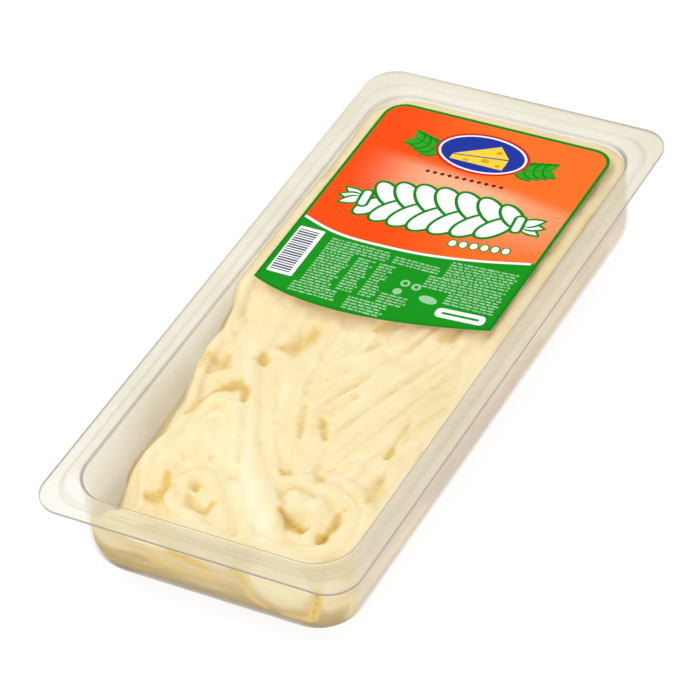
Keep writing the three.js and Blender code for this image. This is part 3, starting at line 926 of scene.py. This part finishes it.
class Skein:
    """Collects strands as tubes, with the line and the frame that each follows."""

    def __init__(self, seed):
        self.random = np.random.default_rng(seed)
        self.points = []
        self.faces = []
        self.lines = []     # rows of x, y, z, along, side vector, strand number

    def add(self, points, width, thick, roll):
        """A flattened, ribbed tube along points a step apart."""
        random = self.random
        ways = np.gradient(points, axis=0)
        ways /= np.linalg.norm(ways, axis=1)[:, None]
        sideways = np.cross((0.0, 0.0, 1.0), ways)
        sideways /= np.maximum(np.linalg.norm(sideways, axis=1), 1e-6)[:, None]
        upward = np.cross(ways, sideways)
        along = lengths(points)
        tilt = roll * np.sin(along / random.uniform(14, 26) + random.uniform(0, TURN))[:, None]
        side = sideways * np.cos(tilt) + upward * np.sin(tilt)
        over = upward * np.cos(tilt) - sideways * np.sin(tilt)
        swell = 1 + STRAND_SWELL * np.sin(along / random.uniform(6, 11) + random.uniform(0, TURN))
        steps = np.arange(len(points))
        swell *= np.sqrt(np.clip(0.25 + np.minimum(steps, steps[::-1]) / 3.0, 0, 1))
        angles = np.linspace(0, 2 * math.pi, STRAND_SIDES, endpoint=False)
        ribs = 1 + RIB_DEPTH * np.sin(angles * STRAND_RIBS + random.uniform(0, TURN))
        across, high = (np.sign(wave) * np.abs(wave) ** BOXINESS * ribs
                        for wave in (np.cos(angles), np.sin(angles)))
        rings = (points[:, None, :]
                 + side[:, None, :] * (across[None, :, None] * width / 2 * swell[:, None, None])
                 + over[:, None, :] * (high[None, :, None] * thick / 2 * swell[:, None, None]))
        self.add_body(pressed(rings.reshape(-1, 3)).reshape(rings.shape))
        number = np.full((len(points), 1), len(self.lines) + 1.0)
        self.lines.append(np.hstack([points, along[:, None], side, number]))

    def add_body(self, rings):
        points, faces = lofted(rings)
        first = sum(len(rows) for rows in self.points)
        self.points.append(np.array(points))
        self.faces += [tuple(first + i for i in face) for face in faces]


def pressed(points):
    """Points kept inside the tray: what would pass the wall is flattened against it."""
    result = points.copy()
    result[:, 2] = np.clip(result[:, 2], FLOOR_Z, HEAP_LIMIT)
    distance, way = wall_distance(result)
    excess = np.maximum(distance - WALL_REACH, 0)
    result[:, :2] -= way * excess[:, None]
    return result


def lengths(rows):
    """How far along a line each of its points lies."""
    return np.concatenate([[0], np.cumsum(np.linalg.norm(np.diff(rows, axis=0), axis=1))])


def picked(points, choose):
    """Points on a line, at the places along it that `choose` gives for its whole length."""
    rows = np.asarray(points, float)
    along = lengths(rows)
    return np.stack([np.interp(choose(along[-1]), along, column) for column in rows.T], axis=1)


def resampled(points):
    return picked(points, lambda whole: np.linspace(0, whole, max(5, int(whole / STRAND_STEP) + 1)))


# Strands that show through the film: width, thickness, lift over the heap's top, and route.
TOP_STRANDS = [
    # broad ribbons, and the strands to the right of them
    (7.5, 3.8, 1.1, [(-24, 16), (-23, -17.5), (-19.6, -29.3), (-13.5, -41.9), (-7.7, -52.3),
        (-2.2, -60.5), (5, -67.8), (11, -75.5), (15.5, -83.6)]),
    (6.5, 3.4, 0.9, [(-20.5, -22), (-16.5, -34), (-11, -45), (-5, -55), (1, -64), (6, -72), (9, -84)]),
    (6.0, 3.4, 0.5, [(-18, 16), (-17.3, -10.8), (-15.7, -23.4), (-11.6, -34.8), (-5.8, -45.2),
        (-0.1, -55.5), (4.2, -62), (8, -67)]),
    (5.5, 3.2, 0.2, [(-9, 16), (-8.6, -11.9), (-8.7, -23.7), (-5.5, -34.5), (-0.5, -45.2), (3.4, -54.1),
        (6.3, -58.3), (9, -62)]),
    (4.6, 3.2, 0.7, [(6, 16), (3.5, -6), (1.5, -22), (2.7, -35.5), (7.1, -46.4), (9.7, -55.7),
        (11, -61)]),
    (5.0, 3.2, 0.5, [(26, 16), (19, -6), (13, -26), (10.5, -42), (11, -54), (11, -61)]),
    (4.6, 3.0, 0.5, [(38.6, -6), (35, -20), (29.5, -35), (25, -48), (22.9, -60.6)]),
    (4.6, 3.0, 0.1, [(38.4, -33), (37, -45), (34, -57), (33.7, -71.5)]),
    (4.4, 3.0, 0.0, [(38.4, 16), (38.6, -20), (38.5, -45), (38, -60), (37, -70), (35, -77.7), (28, -84)]),
    (4.6, 3.0, 0.3, [(33, 16), (27, -4), (20, -24), (15.5, -42), (15, -56)]),
    (4.6, 3.0, 0.2, [(16, 16), (10, -4), (5.5, -20), (4, -32), (5, -42)]),
    (5.0, 3.0, 0.1, [(0.9, 16), (-0.2, -20.4), (-2.4, -32)]),
    (4.4, 3.0, 0.2, [(38.5, 12), (33.5, -6), (27, -24), (21, -42), (18.6, -58)]),
    (4.2, 3.0, 0.3, [(38.6, -21), (36, -33), (31.5, -46), (27.5, -58), (26, -64)]),
    # the knot
    (8.0, 5.0, 1.0, [(11.0, -70.0), (14, -69.2), (17.5, -68.2), (21.5, -68.2), (25.0, -69.2),
        (26.8, -71.4)]),
    (3.6, 3.0, 2.6, [(10.2, -69.8), (12.4, -66.4), (16.2, -66.2), (20.4, -67.4), (24.6, -67.6)]),
    (6.4, 3.6, 0.9, [(3, -69), (7.1, -64.5), (13, -60.7), (19.2, -60.6), (25.4, -62.2), (31.2, -66.6),
        (33.6, -74.2), (31.4, -81.0), (25.4, -84.6), (17, -86.4), (8, -86)]),
    (5.4, 3.4, 0.5, [(14, -56.6), (22, -57.2), (29, -60.0), (35.0, -65), (37.4, -73), (35.6, -82)]),
    (5.0, 3.6, 0.6, [(21.8, -69.4), (23.8, -73.8), (24.4, -78.4), (22.4, -84)]),
    (6.2, 3.6, -0.6, [(12.0, -72), (15, -78), (19, -82.5), (26, -82.5), (30, -77)]),
    # the near left loops
    (6.2, 3.4, 1.2, [(-21.3, -71), (-25.8, -59.5), (-27.2, -50.6), (-26, -43.4), (-22.4, -40.2),
        (-17.8, -41.8), (-12.8, -48), (-8.5, -56.8), (-5.3, -67.9)]),
    (6.0, 3.2, 0.4, [(-18.8, -66), (-22.1, -52), (-20.0, -46.5), (-15.4, -50.9), (-11.2, -62),
        (-9, -70)]),
    (5.0, 3.2, 0.7, [(-29.6, -60), (-32, -47.1), (-31.6, -39.6), (-29.1, -33), (-23.5, -31.2),
        (-15.5, -34.4)]),
    (4.8, 3.2, 0.9, [(-26.8, -76), (-25.4, -69.6), (-20.2, -71.2), (-15.8, -79.4), (-8.7, -82.6),
        (-1, -83.4)]),
    (3.8, 3.0, 1.2, [(-13.6, -79), (-15.9, -74), (-15.5, -70.0), (-12.2, -68.1), (-7.4, -70.6),
        (-3.8, -76.6), (-4.2, -82)]),
    (5.2, 3.2, 0.5, [(-12.1, -62), (-5.2, -71.9), (-0.8, -79), (5.4, -87)]),
    (5.0, 3.2, 0.8, [(-6.3, -64), (1.9, -73.6), (7.2, -81), (12, -88)]),
    (5.4, 3.6, 1.6, [(-27.5, -85), (-29.6, -79), (-30.6, -73.1), (-31.0, -66), (-30.2, -56)]),
    (6.0, 3.4, -0.2, [(-22.5, -45), (-19.5, -50), (-17.5, -56), (-15.5, -63), (-16, -68)]),
    (4.6, 3.2, 1.0, [(-31.4, -62), (-27.8, -65.5), (-24.6, -69.2), (-26.6, -74.5), (-29.6, -76.5)]),
    (5.0, 3.2, 0.2, [(-24, -66), (-20, -64), (-15, -67), (-11, -74), (-9.5, -80)]),
    # the far left strands
    (4.6, 3.0, 0.9, [(-33.4, -37), (-35.0, -27.5), (-32.6, -21.8), (-28.3, -22.7), (-25.3, -29.8),
        (-25, -36)]),
    (6.4, 3.2, 0.6, [(-25.2, 16), (-27.7, -9.1), (-28, -18.1), (-24.6, -27.2), (-18.5, -35)]),
    (5.4, 3.2, 0.3, [(-19.2, 16), (-21.4, -10), (-20.6, -16.4), (-16.5, -24.4), (-12, -33)]),
    (5.6, 3.2, 0.2, [(-8.4, 16), (-10.6, -12), (-11.5, -22), (-9.5, -32.8)]),
    (5.4, 3.2, 0.2, [(-36.4, 16), (-35.2, -9), (-34.7, -20), (-33.6, -33), (-32, -42.8)]),
    (5.6, 3.2, 0.1, [(-31, 16), (-31, -8), (-31, -16), (-29, -24)]),
    (5.6, 3.2, 0.0, [(-13.5, 16), (-14, -4), (-13, -11), (-9, -18), (-5, -28)]),
    # along the near wall
    (5.0, 3.4, 0.3, [(-28, -83), (-19.3, -86.2), (-10.4, -86.4), (-1.1, -86.4), (6, -86)]),
    (5.0, 3.4, 0.2, [(-3, -88), (8, -87.6), (17.1, -87.8), (27, -87), (34, -81)]),
]
BROAD_RIBBONS = 4       # of those, the first are the broad ribbons
RIGHT_STRANDS = 17      # fine strands over the right side
RIBBON_STRANDS = 10     # fine strands over the broad ribbons
BED_STRANDS = 15        # under the strands that show
COVERED_STRANDS = 16    # under the label
TUCK_LENGTH = 6.0       # over which a strand's end dives into the heap
LIFT_SHARE = 0.8        # how much of its full height each strand stands out of the heap
VOXEL = 0.6             # spacing of the skin's points before it is thinned out
MOST_TRIANGLES = 196000
NEAR_WALL = (-84, -88)  # along Y, from where the near wall's own marks begin to where they are full
WALL_ROWS_FROM, WALL_ROWS_TO = 1.6, 27.5    # heights of the rows of strands along the wall
WALL_ROW = 2.7          # from one of those rows to the next
WALL_STRAND = 3.4       # width of their strands
WALL_FOOT, WALL_TOP = 1.4, 24.0             # their lowest height, and their highest outside the label
WALL_OVERLAP = 10       # steps that each of them runs on beside the next


def on_heap(route, lift, tuck=4.0):
    """A flat route laid on the heap, with both ends diving into it."""
    line = resampled(through(route, 10))
    x, y = line[:, 0], line[:, 1]
    along = np.concatenate([[0], np.cumsum(np.hypot(np.diff(x), np.diff(y)))])
    dive = tuck * (1 - smooth_step(0, TUCK_LENGTH, np.minimum(along, along[-1] - along)))
    return np.stack([x, y, heap_top(x, y) + lift - dive], axis=1)


def wobble(points, random, size, length):
    """A gentle seeded wander sideways, and half as much up and down."""
    along = np.arange(len(points)) * STRAND_STEP
    for axis in range(3):
        for octave in (1.0, 0.45):
            phase = random.uniform(0, TURN)
            share = size * octave * (0.5 if axis == 2 else 1.0)
            points[:, axis] += share * np.sin(along * 2 * math.pi / (length * octave) + phase)
    return points


def all_lines():
    """Every strand of the heap, as (points, width, thickness, roll)."""
    random = np.random.default_rng(11)
    lines = []
    for width, thick, lift, route in TOP_STRANDS:
        lines.append((on_heap(route, LIFT_SHARE * lift), width, thick, 0.2))
    for index in range(RIGHT_STRANDS):
        x = 12 + 1.7 * index + random.uniform(-0.8, 0.8)
        start = random.uniform(-10, 10) - max(0.0, 1.6 * (x - 28))
        end = random.uniform(-60, -36)
        lean = 0.38 * (start - end)
        foot = x - lean + random.uniform(-0.8, 0.8)
        route = [(x, start), (x - 0.58 * lean, (start + end) / 2), (foot, end)]
        points = wobble(on_heap(route, 1.15, 2.2), random, 0.5, 34)
        lines.append((points, random.uniform(1.5, 2.4), random.uniform(1.3, 1.8), 0.1))
    for index in range(RIBBON_STRANDS):
        shift = random.uniform(-3.2, 3.2)
        source = TOP_STRANDS[index % BROAD_RIBBONS][3]
        route = [(x + shift, y + random.uniform(-1, 1)) for x, y in source][1:-1]
        points = on_heap(route, random.uniform(1.0, 1.3), 2.0)
        lines.append((points, random.uniform(1.8, 3.0), 1.4, 0.1))
    for index in range(BED_STRANDS):
        x = -36 + 5.2 * index
        route = [(x + random.uniform(-2, 2), 14), (x + random.uniform(-2, 2), -14),
                 (x + random.uniform(-3, 3), -44), (x + random.uniform(-2, 2), -70), (x, -86)]
        points = on_heap(route, -1.3, 2.0)
        points[:, 0] = np.maximum(points[:, 0], left_clearance(points[:, 1]) - MOUTH_WIDTH / 2 + 2.5)
        lines.append((points, random.uniform(6.6, 8.2), 4.2, 0.3))
    for index in range(COVERED_STRANDS):
        x = -38.0 + 5.07 * index
        route = [(x + random.uniform(-2.2, 2.2), y) for y in (87, 66, 48, 30, 14, 0)]
        points = wobble(on_heap(route, random.uniform(-0.4, 0.6), 3.0), random, 0.7, 30)
        lines.append((points, random.uniform(5.2, 7.6), random.uniform(3.4, 4.2), 0.3))
    edges = [[(x, 86), (x, 60), (x, 34), (x, 8), (x * 0.99, -14 if x > 0 else 6)]
             for x in (-38.6, -36.2, 36.2, 38.6)]
    edges += [[(x, y) for x in (-36, -12, 12, 36)] for y in (84.5, 87.6)]
    for route in edges:
        lines.append((wobble(on_heap(route, 0.5, 3.0), random, 0.4, 30), 4.4, 4.0, 0.2))
    z = WALL_ROWS_FROM
    while z < WALL_ROWS_TO:
        lines += wall_lines(z, random)
        z += WALL_ROW
    return lines


def wall_lines(z, random):
    """Strands along the wall at about one height, which come to it and leave it again."""
    ring = np.array(wall_ring(max(z, 1.2), 1.1, 10))
    ring = resampled(np.vstack([ring, ring[:1]]))
    count = len(ring)
    middle = ring.mean(0)
    lines = []
    start = int(random.integers(0, count))
    covered = 0
    while covered < count:
        length = int(random.uniform(30, 85))
        index = (start + covered + np.arange(length)) % count
        points = ring[index].copy()
        along = np.arange(length) / (length - 1)
        drift = random.uniform(-2.2, 2.2)
        bow = random.uniform(-1.5, 1.5)
        points[:, 2] = z + drift * (along - 0.5) + bow * np.sin(along * math.pi) + random.uniform(-0.5, 0.5)
        x, y, _ = points.T
        highest = WALL_TOP + COVERED_RISE * smooth_step(-9, 6, y) - corner_dip(x, y)
        points[:, 2] = np.clip(points[:, 2], WALL_FOOT, highest)
        inward = 3.0 * (1 - smooth_step(0, 0.1, np.minimum(along, 1 - along))) + random.uniform(0, 0.7)
        way = middle[:2] - points[:, :2]
        way /= np.linalg.norm(way, axis=1)[:, None]
        points[:, :2] += way * (inward + np.maximum(wall_distance(points)[0] + 1.2, 0))[:, None]
        points[:, 0] += left_shift(points[:, 0], points[:, 1], points[:, 2])
        lines.append((points, WALL_STRAND, random.uniform(3.0, 5.4), 0.1))
        covered += length - WALL_OVERLAP
    return lines


CORE_HEIGHTS = (SHEET + 0.4, 4.0, 8.0, 12.5, 17.0, 19.5)
CORE_INSET = 2.0
CORE_TOP = 21.0
CORE_DROP = 2.2         # from the middle of the top strands down to the core


def core_rings():
    """The bare heap under the strands: rings up the wall, then rings over the top towards the middle."""
    rings = []
    for z in CORE_HEIGHTS:
        ring = np.array(wall_ring(z, CORE_INSET, 8))
        ring = picked(np.vstack([ring, ring[:1]]), lambda whole: np.linspace(0, whole, 130, endpoint=False))
        rings.append(ring)
    edge = rings[-1].copy()
    middle = edge.mean(0)
    for ring in rings:
        ring[:, 0] += left_shift(*ring.T)
    for share in (0.93, 0.82, 0.68, 0.52, 0.36, 0.2, 0.08):
        ring = middle + (edge - middle) * share
        ring[:, 0] += left_shift(ring[:, 0], ring[:, 1], np.full(len(ring), CORE_TOP))
        ring[:, 2] = heap_top(ring[:, 0], ring[:, 1]) - CORE_DROP
        rings.append(ring)
    return rings


def evaluated_mesh(obj, name):
    bpy.context.view_layer.update()
    evaluated = obj.evaluated_get(bpy.context.evaluated_depsgraph_get())
    mesh = bpy.data.meshes.new_from_object(evaluated)
    bpy.data.objects.remove(obj)
    mesh.name = name
    return mesh


def read(items, name, width, kind=float):
    """One property of all of a mesh's items, with a row for each."""
    values = np.zeros(len(items) * width, kind)
    items.foreach_get(name, values)
    return values.reshape(-1, width)


def read_points(mesh):
    return read(mesh.vertices, "co", 3) / MM


def largest_part(count, edges):
    """Which points belong to the outer skin: the part that the most points are joined to."""
    label = np.arange(count)
    while True:
        low = np.minimum(label[edges[:, 0]], label[edges[:, 1]])
        fresh = label.copy()
        np.minimum.at(fresh, edges[:, 0], low)
        np.minimum.at(fresh, edges[:, 1], low)
        fresh = fresh[fresh]
        if (fresh == label).all():
            break
        label = fresh
    return label == np.bincount(label).argmax()


def read_edges(mesh):
    return read(mesh.edges, "vertices", 2, int)


def evened(points, edges, times):
    """The points, each moved a few times halfway to the middle of those that it is joined to."""
    first, second = edges.T
    count = len(points)
    joined = np.maximum(np.bincount(first, minlength=count) + np.bincount(second, minlength=count), 1)
    smooth = points.copy()
    for _ in range(times):
        total = np.zeros_like(smooth)
        for axis in range(3):
            total[:, axis] = (np.bincount(first, smooth[second, axis], count)
                              + np.bincount(second, smooth[first, axis], count))
        smooth = 0.5 * smooth + 0.5 * total / joined[:, None]
    return smooth


def cheese_skin(skein):
    """One closed skin over all the strands and the core, with the creases pressed into it."""
    mesh = bpy.data.meshes.new("strands")
    mesh.from_pydata((np.vstack(skein.points) * MM).tolist(), [], skein.faces)
    mesh.update()
    source = link(bpy.data.objects.new("strands", mesh))
    remesh = source.modifiers.new("skin", "REMESH")
    remesh.mode = "VOXEL"
    remesh.voxel_size = VOXEL * MM
    relax = source.modifiers.new("relax", "SMOOTH")
    relax.factor = 0.5
    relax.iterations = 4
    whole = evaluated_mesh(source, "whole")
    points = read_points(whole)
    edges = read_edges(whole)
    quads = read(whole.loops, "vertex_index", 1, int).reshape(-1, 4)
    kept = largest_part(len(points), edges)
    uneven = smooth_noise(points, 0.16) + 0.6 * smooth_noise(points, 0.37)
    drop, _ = creases(points[:, 0], points[:, 1], smooth_noise(points, 0.45))
    away = wall_distance(points)[0]
    points[:, 2] -= (drop - 0.4 * uneven) * smooth_step(15, 20, points[:, 2]) * smooth_step(-0.6, -1.6, away)
    gap, out = skin_gap(points)
    close = gap + 1.0 * smooth_step(20, 12, points[:, 2]) + 1.5 * smooth_step(5, 3, points[:, 2])
    pressed_flat = smooth_step(-2.2, -1.0, close)
    aim = np.maximum(SKIN_REACH + SKIN_RELIEF * (gap - WALL_REACH), SKIN_LEAST)
    points += out * ((aim - gap) * pressed_flat)[:, None]
    points += (evened(points, edges, 6) - points) * pressed_flat[:, None]
    again, out = skin_gap(points)
    points += out * ((aim - again) * pressed_flat)[:, None]
    near = smooth_step(*NEAR_WALL, points[:, 1]) * smooth_step(-2.2, -0.8, close)
    points[:, 1] += 0.5 * near * (1 - near_fold(points[:, 0], points[:, 2]))
    number = np.cumsum(kept) - 1
    quads = number[quads[kept[quads[:, 0]]]]
    skin = bpy.data.meshes.new("skin")
    skin.from_pydata((points[kept] * MM).tolist(), [], quads.tolist())
    skin.update()
    thinned = link(bpy.data.objects.new("skin", skin))
    decimate = thinned.modifiers.new("thin", "DECIMATE")
    decimate.ratio = min(1.0, MOST_TRIANGLES / (2 * len(quads)))
    return evaluated_mesh(thinned, "cheese_skein")


def hollowness(mesh, points):
    """How far each point lies below its smoothed surroundings, in millimetres."""
    smooth = evened(points, read_edges(mesh), 30)
    return ((smooth - points) * read(mesh.vertex_normals, "vector", 3)).sum(1)


def nearest_rows(points, lines):
    """The row of the strands' lines that lies nearest to each point."""
    rows = np.vstack(lines)
    tree = kdtree.KDTree(len(rows))
    for index, row in enumerate(rows):
        tree.insert(row[:3], index)
    tree.balance()
    return rows[np.array([tree.find(point)[1] for point in points])]


def colour_cheese(mesh, skein):
    """Stores each point's place along and across its strand, and the painted shade and painted highlights on
    it.
    """
    points = read_points(mesh)
    found = nearest_rows(points, skein.lines)
    offset = points - found[:, :3]
    along, strand = found[:, 3], found[:, 7]
    across = (offset * found[:, 4:7]).sum(1)
    fibre = np.stack([across * 1.3 + strand * 7.3, along * 0.09 + strand * 3.1, offset[:, 2] * 1.3], axis=1)
    layer = mesh.attributes.new("fibre", "FLOAT_VECTOR", "POINT")
    layer.data.foreach_set("vector", fibre.astype(np.float32).ravel())
    x, y, z = points.T
    away = wall_distance(points)[0]
    # where a point lies, each as a share from 0 to 1
    on_top = smooth_step(14, 19, z) * smooth_step(-0.4, -1.6, away)
    walled = smooth_step(-2.4, -0.8, away)
    near = smooth_step(*NEAR_WALL, y)
    right = smooth_step(33, 39, x) * (1 - near)
    lower = smooth_step(20, 7, z)
    fold = near_fold(x + 1.2 * smooth_noise(points, 0.22), z) * near
    # painted yellow shade: creases on top, hollows, depths, and the gaps between the strands on the wall
    dark = creases(x, y, smooth_noise(points, 0.45))[1]
    hollow = smooth_step(0.15, 0.9, hollowness(mesh, points))
    below = np.minimum(heap_top(x, y) + 1.0 - z, np.maximum(-away, 0))
    gap_shade = np.maximum(dark * on_top, 0.34 * hollow + 0.4 * smooth_step(2.2, 6.5, below))
    gap_shade = np.maximum(gap_shade, near_hollow(x, z) * near * walled)
    tone = np.modf(np.abs(np.sin(strand * 12.9898) * 43758.5453))[0]    # one random share for each strand
    order = strand.astype(int)
    spread = np.bincount(order, np.abs(across)) / np.maximum(np.bincount(order), 1)
    seam = smooth_step(1.2, 1.9, np.abs(across) / spread[order]) * walled * (1 - near)
    gap_shade = np.maximum(gap_shade, (0.3 + 0.25 * right) * seam * (0.4 + tone))
    # painted brown shade against the wall, more so lower down, on the near side and between strands, with
    # each strand's random tone mixed in, at the near foot, and a little on parts of the top
    by_wall = walled * (1 - 0.42 * fold) * (
        0.05 + (0.3 - 0.15 * right) * lower + 0.3 * (2 - near) * (tone - 0.4) + 0.3 * seam
        + near * (0.24 + 0.5 * lower))
    foot = near * smooth_step(9, 5, z)
    over_right = 0.05 * smooth_step(4, 22, x) * smooth_step(-62, -50, y)
    over_knot = 0.07 * bell(np.hypot(x - KNOT[0], y - KNOT[1]), 9)
    shade = np.maximum(by_wall, foot) + on_top * (over_right + over_knot)
    # paler colour: the palest ribbon, partly its own colour and partly a painted highlight, painted
    # highlights on the knot, and the pressed folds, painted as if lit
    aside, place = route_distance(x, y, PALE_RIBBON)
    pale_and_highlight = (0.3 + 0.25 * place) * bell(aside, 1.6 + 1.6 * place)
    for spot in KNOT_HIGHLIGHTS:
        pale_and_highlight = np.maximum(pale_and_highlight, 0.4 * bell(route_distance(x, y, [spot])[0], 2.2))
    pale_and_highlight = np.maximum(pale_and_highlight * on_top, 0.5 * fold * smooth_step(5, 9, z))
    marks = np.clip(np.stack([pale_and_highlight, gap_shade, shade], axis=1), 0, 1)
    marks += (evened(marks, read_edges(mesh), 8) - marks) * (walled * (1 - near))[:, None]
    for name, values in zip(("pale_and_highlight", "gap_shade", "shade"), marks.T):
        mark(mesh, name, values)


def make_cheese():
    skein = Skein(3)
    skein.add_body(core_rings())
    for points, width, thick, roll in all_lines():
        skein.add(points, width, thick, roll)
    mesh = cheese_skin(skein)
    colour_cheese(mesh, skein)
    mesh.materials.append(cheese)
    mesh.shade_smooth()
    piece = link(bpy.data.objects.new("cheese_skein", mesh))
    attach(piece, "root")
    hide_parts("cheese")


# Stage ----

CAMERA_PLACE = (0.4159, -0.6442, 0.6862)
CAMERA_RIGHT = (0.87789, 0.46761, -0.10319)
CAMERA_UP = (-0.24243, 0.61984, 0.74634)
CAMERA_LENS = 190.36
FLOOR_HALF = 6000.0
LAMP_SIDE = 1.2
WHITE = (1.0, 1.0, 1.0, 1.0)


def make_camera():
    data = bpy.data.cameras.new("camera")
    data.sensor_width = 36.0
    data.lens = CAMERA_LENS
    data.clip_start = 0.01
    camera = link(bpy.data.objects.new("camera", data))
    right = Vector(CAMERA_RIGHT).normalized()
    up = Vector(CAMERA_UP)
    up = (up - right * up.dot(right)).normalized()
    back = right.cross(up)
    turn = Matrix((right, up, back)).transposed()
    camera.matrix_world = Matrix.Translation(Vector(CAMERA_PLACE)) @ turn.to_4x4()
    bpy.context.scene.camera = camera


def make_floor():
    """A plain pale surface, with its top just under the pack."""
    look = Look("pale_floor")
    colour = look.mix(look.noise(3.0), srgb(130, 130, 131), srgb(127, 127, 128))
    material = look.finish(colour, 0.9, Emission_Color=WHITE, Emission_Strength=0.83, Specular_IOR_Level=0.1)
    points = [(x * FLOOR_HALF, y * FLOOR_HALF, -0.05) for x, y in ((-1, -1), (1, -1), (1, 1), (-1, 1))]
    floor = mesh_object("floor", points, [(0, 1, 2, 3)], material, smooth=False)


def make_light(name, place, target, power):
    data = bpy.data.lights.new(name, "AREA")
    data.shape = "RECTANGLE"
    data.size = data.size_y = LAMP_SIDE
    data.energy = power
    lamp = link(bpy.data.objects.new(name, data))
    lamp.location = place
    way = Vector(target) - Vector(place)
    lamp.rotation_euler = way.to_track_quat("-Z", "Y").to_euler()


def make_world():
    world = bpy.data.worlds.new("studio")
    bpy.context.scene.world = world
    world.use_nodes = True
    back = world.node_tree.nodes["Background"]
    back.inputs["Color"].default_value = WHITE
    back.inputs["Strength"].default_value = 0.86


def make_stage():
    make_camera()
    make_floor()
    make_light("key", (-0.5, -0.1, 0.9), (0, 0, 0.02), 3.6)
    make_light("fill", (0.42, -1.02, 0.3), (0, 0, 0.015), 4.4)
    make_world()
    bpy.context.scene.view_settings.view_transform = "Standard"
    # light has to reach the cheese through the film, the flange and both faces of the wall
    bpy.context.scene.cycles.transparent_max_bounces = 32


# Making it all ----

clear_sheet = clear_material("clear_sheet", 0.26, srgb(230, 221, 190), srgb(221, 207, 140),
                             srgb(236, 231, 240), srgb(122, 112, 122), 0.8)
FILM_TINT = srgb(226, 222, 206)
clear_film = clear_material("clear_film", 0.035, FILM_TINT, FILM_TINT, FILM_TINT, srgb(150, 140, 146), 0.3)
cheese = cheese_material()
INKS = {
    "dark_green": [(0, 136, 16)], "green": [(8, 148, 18)], "bright_green": [(46, 168, 30)],
    "white": [(252, 252, 250), (246, 247, 244)], "mint": [(168, 210, 166), (134, 190, 136)],
    "ink": [(84, 84, 108)], "brown": [(84, 34, 16)], "yellow": [(255, 214, 60)], "amber": [(224, 160, 30)],
    "blue": [(24, 52, 160)], "red": [(210, 30, 36)], "backing": [(250, 226, 190)],
}
ink = {name: print_material(name + "_print", *(srgb(*colour) for colour in colours))
       for name, colours in INKS.items()}
ink["orange"] = orange_material()

make_tray()
make_film()
make_label()
make_plait()
make_emblem()
make_small_print()
make_stripes()
make_cheese()
make_stage()
